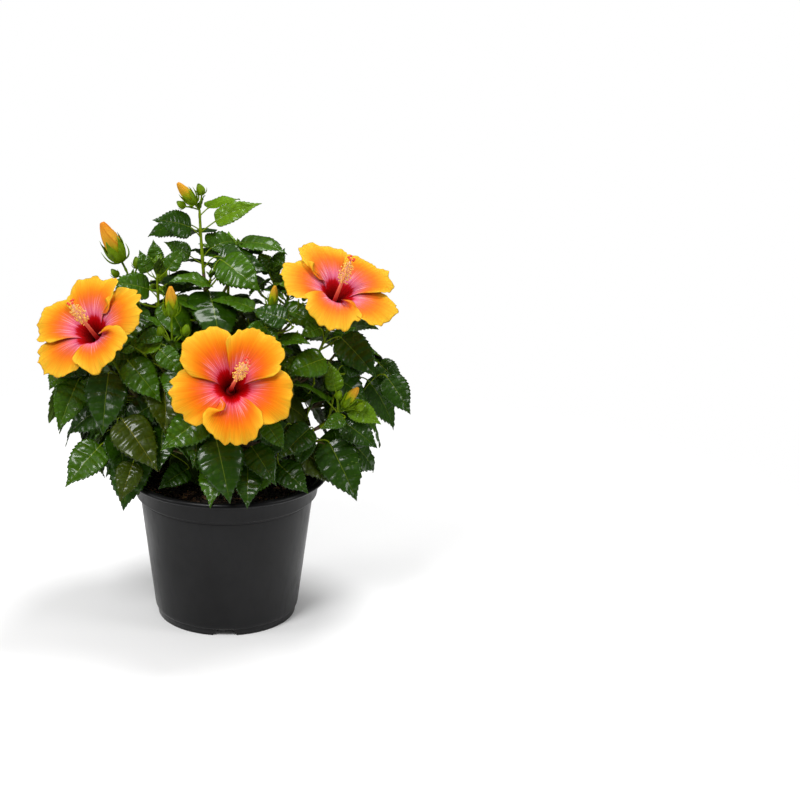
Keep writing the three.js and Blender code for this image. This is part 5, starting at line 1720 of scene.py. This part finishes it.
def basis(way):
    """Two directions square to a way."""
    start = RIGHT if abs(way[0]) < 0.8 else BACK
    first = unit(across(start, way))
    return first, np.cross(way, first)


def outward(way, turn):
    """A direction square to a way, at a turn about it, or one for each of many turns."""
    first, second = basis(way)
    turn = np.asarray(turn)[..., None]
    return first * np.cos(turn) + second * np.sin(turn)


def round_body(foot, way, length, radii, heights, ends=None):
    """A closed body round an axis, from a grid of radii at shares of its length."""
    rows, columns = radii.shape
    heights = np.broadcast_to(np.asarray(heights, float).reshape(rows, -1), radii.shape)
    body = foot + outward(way, even_turns(columns)) * radii[..., None] + way * (heights * length)[..., None]
    ends = ends or (body[0].mean(0), body[-1].mean(0) + way * length * 0.01)
    return np.concatenate((body.reshape(-1, 3), ends)), end_faces(rows, columns)


def bud_radius(share, pointed=False):
    """A bud's outline: broad below its middle and blunt, or drawn to a point."""
    swell, high, low, blunt, top, less = POINTED_BUD if pointed else BLUNT_BUD
    return swell * np.power(np.sin(math.pi * np.clip(share * high + low, 0, 1)), blunt) * (top - less * share)


POINTED_BUD = (1.22, 0.92, 0.075, 0.8, 1.12, 0.42)
BLUNT_BUD = (1.04, 0.845, 0.1, 0.66, 1.1, 0.26)
BUD_TURNS = 1.3
BRACTS = 7


def furled(bud):
    """The rolled petals of a bud, five edges that wind up to its tip, and their map."""
    rows, columns = 28, 40
    share, angle = evenly(rows)[:, None], even_turns(columns)
    lap = np.mod(angle * PETALS / TURN + share * BUD_TURNS, 1)
    shape = 0.93 + 0.2 * lap**2.2 * (0.6 + 0.6 * share) + 0.05 * np.sin(angle * 3 + share * 7) * share
    radii = bud.width * bud_radius(share) * shape * 0.95
    maps = np.stack(np.meshgrid(evenly(columns), evenly(rows)), -1)
    body = round_body(bud.foot, bud.way, bud.length * 0.98, radii, share)
    return *body, np.concatenate((maps.reshape(-1, 2), ((0.5, 0), (0.5, 1))))


def cup(foot, way, length, radius_at, flare, lobe, thick=0.45):
    """A green cup with five pointed lobes, as a closed thin body."""
    rows, columns = 9, 50
    angle = even_turns(columns)[None]
    place = np.abs(np.mod(angle * PETALS / TURN, 1) * 2 - 1)
    height = evenly(rows)[:, None] * (1 - lobe * place**0.85)
    outer = radius_at(height) * (1 + flare * smooth((height - 0.5) * 2) + 0.03 * np.cos(angle * 10))
    grid = np.concatenate((outer, outer[::-1] - thick))
    heights = np.concatenate((height, height[::-1] + 0.004))
    return round_body(foot, way, length, grid, heights, (foot - way * 0.8, foot + way * thick))


def bracts(foot, way, length, width, rng):
    """The narrow leaflets under a cup, which stand up beside it."""
    for i in range(BRACTS):
        out = outward(way, TURN * (i + rng.uniform(-0.2, 0.2)) / BRACTS)
        root = foot + out * width * 0.5
        bend = root + out * length * 0.5 + way * length * 0.1
        end = root + out * length * rng.uniform(0.35, 0.7) + way * length * rng.uniform(0.7, 1.1)
        shares = evenly(8)
        slim = 1.15 * np.sin(math.pi * mix(0.3, 0.97, shares)) ** 0.8
        yield sweep(Curve(root, bend, end).at(shares), slim * min(1, width / 7), 5)


class SHRUB_OT_buds(bpy.types.Operator):
    """Sets the buds on their stalks: furled petals in green cups, and small green ones"""

    bl_idname = "shrub.buds"
    bl_label = "Buds"

    def execute(self, context):
        settings = context.scene.shrub_blooms
        materials = [calyx_material("bud green", settings), bud_material("bud petals", settings)]
        masses, _ = crown()
        for number, mass in enumerate(masses):
            buds = [bud for twig in mass.twigs for bud in twig.buds]
            if not buds:
                continue
            rng = np.random.default_rng(300 + number)
            builder = Builder()
            for bud in buds:
                add_bud(builder, bud, rng)
            builder.build(f"buds_{mass.name}", materials, "petals")
        return {"FINISHED"}


def add_bud(builder, bud, rng):
    def add_green(points, faces):
        builder.add(points, faces, 0, petal=np.zeros((len(points), 2)))

    shares = np.linspace(0, 0.97, 14)
    stalk = mix(1.15, 1.5, shares) + 0.5 * np.exp(-(((shares - 0.45) / 0.05) ** 2))
    add_green(*sweep(bud.stalk.at(shares), stalk * (0.75 if bud.green else 1.0), 8))
    if bud.green:
        share, grow, flare, lobe = 0.97, 1.0, 0.0, 0.12
    else:
        share, grow, flare, lobe = 0.62, 1.05, 0.1, 0.6
        points, faces, maps = furled(bud)
        ripe = mix(0.62, 1.0, within((bud.length - 28) / 24))
        builder.add(points, faces, 1, petal=maps * (1, ripe))

    def fit(height):
        return bud.width * grow * bud_radius(height * share, bud.green) * 1.05 + 0.25

    add_green(*cup(bud.foot - bud.way * 0.5, bud.way, bud.length * share, fit, flare, lobe))
    for body in bracts(bud.foot, bud.way, bud.length * 0.36 + 3, bud.width, rng):
        add_green(*body)


def calyx_material(name, settings):
    """The green skin of cups, bracts and their stalks."""
    return stem_material(name, settings.calyx, dimmed(settings.calyx, 0.62), 150.0, 0.42, 0.12)


def bud_material(name, settings):
    """Furled petals: green at the foot, gold above, with a brown seam where one laps over the next."""
    made, tree, shader = material(name, 0.55, specular_ior_level=0.08)
    place = map_of(tree, "petal")
    pattern = petal_pattern(tree, Petal=place, Veins=40.0, Streaks=0.22, Seed=3.0)
    sideways, along, _ = parts(place)
    wound = maths("MULTIPLY_ADD", sideways, float(PETALS), times(along, BUD_TURNS))
    seam = between(maths("FRACT", wound), 0.8, 0.97, 0.0, 0.55)
    stops = (
        (0.0, (0.2, 0.29, 0.001)), (0.34, (0.31, 0.35, 0.003)), (0.52, dimmed(settings.gold, 0.72)),
        (0.78, (0.63, 0.28, 0.02)), (1.0, (0.62, 0.2, 0.01)),
    )
    link(shader, "Base Color", blended(seam, ramp(pattern["Place"], stops), dimmed(settings.orange, 0.62)))
    bump(shader, pattern["Threads"], 0.6)
    return made


# Blooms

PETAL_ROWS = 42
PETAL_COLUMNS = 42
FINE_FOOT_SPREAD = 0.9
FINE_CORNER = 0.36
FINE_RUFFLE = 2.1
VEIN_RELIEF = 0.22
SCALLOP = 0.042
ANTHERS = 110
FILAMENT = 7.6
STIGMAS = 5
FINE_COLUMN = 0.9
ANTHER_TURN = 2.39996


def fine_petal(bloom, petal, out, side):
    """The petal in full: lapped, ruffled and scalloped at its edge, ridged along its veins."""
    seed = int(bloom.radius * 7 + bloom.spin * 3 + petal * 13)

    def waves(across_by, out_by, size, number):
        return ripple(np.stack((side * across_by, out * out_by + seed), -1), size, seed + number)

    scallops = waves(5.2, 0, 1.1, 0) * SCALLOP + waves(5.2, 0, 0.5, 1) * SCALLOP * 0.5
    cut = 1 + scallops * smooth((out - 0.5) * 2) - 0.012
    radius = mix(THROAT_RADIUS, bloom.radius * (1 - FINE_CORNER * np.abs(side) ** 2.7) * cut, out)
    height = funnel(radius)
    low, high = bloom.laps[petal]
    lift = np.where(side < 0, low, high) * np.abs(side) ** 1.3
    height = height + PETAL_LIFT * lift * smooth((out - 0.1) * 2.2)
    height += RUFFLE * out**4 * np.sin(side * RUFFLE_TURNS + petal * RUFFLE_SHIFTS)
    height += FINE_RUFFLE * out**5 * waves(3.4, 0.8, 0.9, 2)
    height += FINE_RUFFLE * 0.6 * out**9 * waves(9.0, 0.5, 0.7, 3)
    veins = np.cos(side * 17 + 0.6 * np.sin(side * 5 + petal)) * smooth(out * 3) * (1 - out**3)
    height += VEIN_RELIEF * veins
    turn_by = mix(FINE_FOOT_SPREAD, 1, smooth(out * 1.8)) * PETAL_HALF_ANGLE * side
    for which, edge_side, middle, wide in bloom.flaps:
        if which == petal:
            turn_by, height = folded(turn_by, height, radius, out, side * edge_side, middle, wide, edge_side)
    turn = np.radians(bloom.spin + 90 + 360 / PETALS * petal + turn_by)
    return bloom.place(radius, turn, height)


def folded(turn_by, height, radius, out, side, middle, wide, edge_side):
    """Folds one edge of a petal up and over, along a stretch of it."""
    window = np.exp(-(((out - middle) / wide) ** 4))
    past = np.clip((side - 0.66) / 0.34, 0, 1)
    reach = past * 0.34 * np.radians(PETAL_HALF_ANGLE) * radius
    angle = 2.5 * window * past**0.6
    back = reach * (1 - np.cos(angle))
    turn_by = turn_by - edge_side * np.degrees(back / np.maximum(radius, 1))
    return turn_by, height + reach * np.sin(angle) * 0.8 + 1.6 * window * past


class SHRUB_OT_blooms(bpy.types.Operator):
    """Opens the blooms: petals, column with anthers and stigmas, cup and stalk"""

    bl_idname = "shrub.blooms"
    bl_label = "Blooms"

    def execute(self, context):
        settings = context.scene.shrub_blooms
        _, blooms = crown()
        for number, bloom in enumerate(blooms):
            bloom_petals(bloom, number, settings)
            bloom_column(bloom, number)
            bloom_cup(bloom, number, settings)
        return {"FINISHED"}


def bloom_petals(bloom, number, settings):
    """Five petals, from a dark throat to a golden edge."""
    rows = (
        (0.0, dimmed(settings.crimson, 0.3), (0.08, 0.0003, 0.0004)), (0.13, settings.crimson, settings.crimson),
        (0.225, (0.5, 0.001, 0.004), (0.5, 0.001, 0.006)), (0.265, settings.pink, (0.68, 0.115, 0.23)),
        (0.36, (0.73, 0.085, 0.065), (0.72, 0.15, 0.19)), (0.46, (0.73, 0.092, 0.018), (0.73, 0.135, 0.065)),
        (0.58, (0.73, 0.12, 0.004), (0.73, 0.15, 0.018)), (0.69, settings.orange, (0.73, 0.205, 0.009)),
        (0.8, (0.73, 0.245, 0.006), (0.73, 0.3, 0.013)), (0.9, (0.73, 0.315, 0.012), (0.73, 0.38, 0.02)),
        (1.0, settings.gold, (0.73, 0.44, 0.028)),
    )
    dim = mix(1.0, 0.86, bloom.pale)
    stops = [(place, dimmed(mixed(deep, pale, bloom.pale), dim)) for place, deep, pale in rows]
    rays = mixed((0.8, 0.4, 0.46), (0.78, 0.46, 0.54), bloom.pale)
    skin = petal_material(f"petal {number}", float(number), stops, rays, mix(0.5, 0.9, bloom.pale))
    builder = Builder()
    out, side = net_grid(PETAL_ROWS, PETAL_COLUMNS)
    for petal in range(PETALS):
        points, faces, edge = closed_sheet(fine_petal(bloom, petal, out, side), settings.thickness / METRE)
        maps = np.stack((side / 2 + 0.5, out), -1)
        maps = np.concatenate((maps.reshape(-1, 2), maps[~edge]))
        packed = maps * (0.18, 0.96) + (0.01 + petal * 0.2, 0.02)
        builder.add(points, faces, petal=maps, OFBake=packed)
    builder.build(f"petals_{bloom.name}", [skin], "petals", [bloom.name])


def bloom_column(bloom, number):
    """The column, its anthers on short threads, and the five red stigmas at its end."""
    rng = np.random.default_rng(70 + number)
    materials = [
        column_material(f"column {number}", bloom),
        mottled_material(f"filament {number}", (0.9, 0.52, 0.3), (0.92, 0.7, 0.5), 300.0, 0.45),
        mottled_material(f"anther {number}", (0.84, 0.4, 0.04), (0.9, 0.6, 0.14), 500.0, 0.7, 0.3),
        mottled_material(f"stigma {number}", (0.7, 0.02, 0.006), (0.78, 0.07, 0.015), 900.0, 0.6, 0.3),
    ]
    builder = Builder()
    throat = Curve(bloom.ahead(-12), bloom.ahead(-6), bloom.ahead(0.6)).at(evenly(6))
    builder.add(*sweep(throat, np.linspace(4.2, THROAT_RADIUS + 0.3, 6), 20))
    shares = np.linspace(0, FINE_COLUMN, 60)
    radius = mix(3.3, 1.2, shares**0.7) * (1 + 0.03 * np.sin(shares * 60))
    builder.add(*sweep(bloom.column.at(shares), radius, 14))
    for i in range(ANTHERS):
        share = mix(0.53, FINE_COLUMN - 0.03, (i + rng.uniform(0, 1)) / ANTHERS)
        root, along = bloom.column.at(share), bloom.column.way(share)
        out = outward(along, ANTHER_TURN * i + rng.normal(0, 0.25))
        length = FILAMENT * rng.uniform(0.6, 1.15) * math.sin(math.pi * mix(0.2, 0.86, i / ANTHERS)) ** 0.6
        end = root + unit(out + along * rng.uniform(0.1, 0.5)) * length
        bend = root + out * length * 0.5
        builder.add(*sweep(Curve(root, bend, end).at(evenly(5)), 0.22, 4), 1)
        builder.add(*pad(end, unit(out + rng.normal(0, 0.4, 3)), 1.0, 0.85, 6, 5), 2)
    end, along = bloom.column.at(FINE_COLUMN), bloom.column.way(FINE_COLUMN)
    for i in range(STIGMAS):
        out = outward(along, TURN * i / STIGMAS + 0.4)
        final = end + out * rng.uniform(3.2, 4.6) + along * rng.uniform(4.5, 6.5)
        arm = Curve(end - along * 1.5, end + along * 4, final)
        builder.add(*sweep(arm.at(evenly(8)), 0.42, 6))
        builder.add(*pad(final, unit(out + along), 1.25, 1.7, 10, 8), 3)
    builder.build(f"column_{bloom.name}", materials, "petals")


def bloom_cup(bloom, number, settings):
    """The green cup behind the petals, its bracts and the stalk."""
    skin = calyx_material(f"bloom green {number}", settings)
    rng = np.random.default_rng(50 + number)
    builder = Builder()
    foot = bloom.ahead(-CALYX_DEPTH + 1)

    def fit(height):
        return 5.4 + 5.2 * smooth(height * 1.1) + 1.4 * height

    builder.add(*cup(foot, bloom.face, CALYX_DEPTH + 9, fit, 0.06, 0.4))
    tube = evenly(12)
    middle = Curve(foot, bloom.ahead(-8), bloom.ahead(-1.5)).at(tube)
    builder.add(*sweep(middle, mix(4.6, THROAT_RADIUS, tube), 20))
    for body in bracts(foot, bloom.face, 16, 6.5, rng):
        builder.add(*body)
    shares = evenly(24)
    stalk = mix(TIP_RADIUS, 1.9, shares) + 1.9 * smooth((shares - 0.86) / 0.14)
    builder.add(*sweep(bloom.stalk.at(shares), stalk, 10))
    builder.build(f"cup_{bloom.name}", [skin], "leaves")


def pad(middle, way, half_length, half_width_of, sides, rings):
    """A small rounded body, longer or flatter along its way."""
    share = np.linspace(0.06, 0.94, rings)[:, None]
    radii = half_width_of * np.sin(math.pi * share) ** 0.7 * np.ones((1, sides))
    heights = 0.5 - 0.5 * np.cos(math.pi * share)
    return round_body(middle - way * half_length, way, 2 * half_length, radii, heights)


def column_material(name, bloom):
    """The column: crimson in the throat, then coral, pale at its end."""
    made, tree, shader = material(name, 0.42, specular_ior_level=0.3)
    inputs = {0: object_place(tree), 1: tuple(bloom.throat * METRE)}
    off = put(tree, "VectorMath", inputs, operation="SUBTRACT").outputs[0]
    share = maths("DIVIDE", length_of(off), COLUMN_LENGTH * METRE)
    stops = (
        (0.04, (0.16, 0.001, 0.001)), (0.12, (0.7, 0.014, 0.016)), (0.3, (0.86, 0.14, 0.08)),
        (0.6, (0.9, 0.36, 0.2)), (1.0, (0.9, 0.5, 0.32)),
    )
    cloud = mottle(tree, Scale=260.0, One=(0.92,) * 3, Other=(1.0,) * 3)
    link(shader, "Base Color", blended(1.0, ramp(share, stops), cloud["Colour"], blend_type="MULTIPLY"))
    return made


# Stage

def area_light(name, place, width, watts):
    """A round soft light that shines on the middle of the plant."""
    light = bpy.data.lights.new(name, "AREA")
    light.shape = "DISK"
    light.size = width
    light.energy = watts
    back = unit(np.array(place, float) - LIGHTS_AIM)
    axes = np.stack((*basis(back), back), 1)
    show(name, light).matrix_world = Matrix([(*row, at) for row, at in zip(axes, place)] + [(0, 0, 0, 1)])


def stage_camera():
    """A camera before the pot's axis, turned so that the plant falls where the picture has it."""
    camera = bpy.data.cameras.new("camera")
    camera.sensor_width = SENSOR
    camera.lens = SENSOR * FOCUS / PICTURE
    camera.clip_start, camera.clip_end = 0.1, 60
    place, aim = np.array(CAMERA_PLACE) * METRE, np.array(CAMERA_AIM) * METRE
    back = unit(place - aim)
    straight = Matrix(np.stack((RIGHT, np.cross(back, RIGHT), back), 1).tolist())
    pan, tilt = (math.atan((PICTURE / 2 - at) / FOCUS) for at in (AIM_ACROSS, AIM_DOWN))
    turned = straight @ Matrix.Rotation(-pan, 3, "Y") @ Matrix.Rotation(-tilt, 3, "X")
    holder = show("camera", camera)
    holder.matrix_world = Matrix.Translation(place.tolist()) @ turned.to_4x4()
    bpy.context.scene.camera = holder


def stage_floor(settings):
    """A pale floor that fades into the background far from the plant."""
    mesh = bpy.data.meshes.new("floor")
    corners = [(x * FLOOR_REACH, y * FLOOR_REACH, 0) for x, y in ((-1, -1), (1, -1), (1, 1), (-1, 1))]
    mesh.from_pydata(corners, [], [(0, 1, 2, 3)])
    made, tree, shader = material("floor", 0.7)
    shader.inputs["Base Color"].default_value = (*settings.floor, 1)
    fade = between(length_of(object_place(tree)), *FLOOR_FADE)
    clear = put(tree, "BsdfTransparent").outputs[0]
    joined = put(tree, "MixShader", {0: fade, 1: shader.outputs[0], 2: clear}).outputs[0]
    link(tree.nodes["Material Output"], "Surface", joined)
    mesh.materials.append(made)
    show("floor", mesh)


def stage_world(settings):
    """White behind everything, a softer even light, and a dim one for what is mirrored."""
    world = bpy.data.worlds.new("studio")
    bpy.context.scene.world = world
    world.use_nodes = True
    tree = world.node_tree
    light, mirrored, seen = (
        put(tree, "Background", {"Color": (1, 1, 1), "Strength": strength}).outputs[0]
        for strength in (settings.sky, settings.sky * MIRRORED_SKY, 1.0)
    )
    ray = put(tree, "LightPath").outputs
    light = put(tree, "MixShader", {0: ray["Is Glossy Ray"], 1: light, 2: mirrored}).outputs[0]
    light = put(tree, "MixShader", {0: ray["Is Camera Ray"], 1: light, 2: seen}).outputs[0]
    link(tree.nodes["World Output"], "Surface", light)


class SHRUB_OT_stage(bpy.types.Operator):
    """Sets up the floor, the soft lights and the camera"""

    bl_idname = "shrub.stage"
    bl_label = "Stage"

    def execute(self, context):
        settings = context.scene.shrub_stage
        stage_floor(settings)
        stage_world(settings)
        area_light("key light", (-0.9, -1.5, 2.3), 0.95, settings.key)
        area_light("top light", (0.5, 0.3, 2.3), 0.95, settings.key * 0.7)
        area_light("left light", (-2.2, -0.6, 1.0), 0.9, settings.fill)
        area_light("right light", (2.2, -0.9, 1.1), 0.9, settings.fill)
        stage_camera()
        context.scene.view_settings.view_transform = "Standard"
        context.scene.view_settings.look = "None"
        return {"FINISHED"}


class SHRUB_PT_panel(bpy.types.Panel):
    """Lists the shrub's pieces and settings in the sidebar"""

    bl_idname = "SHRUB_PT_panel"
    bl_label = "Potted hibiscus shrub"
    bl_space_type = "VIEW_3D"
    bl_region_type = "UI"
    bl_category = "Shrub"

    def draw(self, context):
        for operator in OPERATORS:
            self.layout.operator(operator.bl_idname)
        for name, settings in SETTINGS.items():
            box = self.layout.box()
            box.label(text=settings.__name__)
            for label in settings.__annotations__:
                box.prop(getattr(context.scene, name), label)


SETTINGS = {
    "shrub_pot": ShrubPot,
    "shrub_wood": ShrubWood,
    "shrub_leaves": ShrubLeaves,
    "shrub_blooms": ShrubBlooms,
    "shrub_stage": ShrubStage,
}
OPERATORS = (
    SHRUB_OT_stage, SHRUB_OT_pot, SHRUB_OT_compost, SHRUB_OT_wood,
    SHRUB_OT_twigs, SHRUB_OT_leaves, SHRUB_OT_buds, SHRUB_OT_blooms,
)
CLASSES = (*SETTINGS.values(), *OPERATORS, SHRUB_PT_panel)


def register():
    for made in CLASSES:
        bpy.utils.register_class(made)
    for name, settings in SETTINGS.items():
        setattr(bpy.types.Scene, name, bpy.props.PointerProperty(type=settings))


def unregister():
    for name in SETTINGS:
        delattr(bpy.types.Scene, name)
    for made in reversed(CLASSES):
        bpy.utils.unregister_class(made)


def main():
    register()
    bpy.ops.shrub.stage()
    bpy.ops.shrub.pot()
    bpy.ops.shrub.compost()
    bpy.ops.shrub.wood()
    bpy.ops.shrub.twigs()
    bpy.ops.shrub.leaves()
    bpy.ops.shrub.buds()
    bpy.ops.shrub.blooms()


if __name__ == "__main__":
    main()
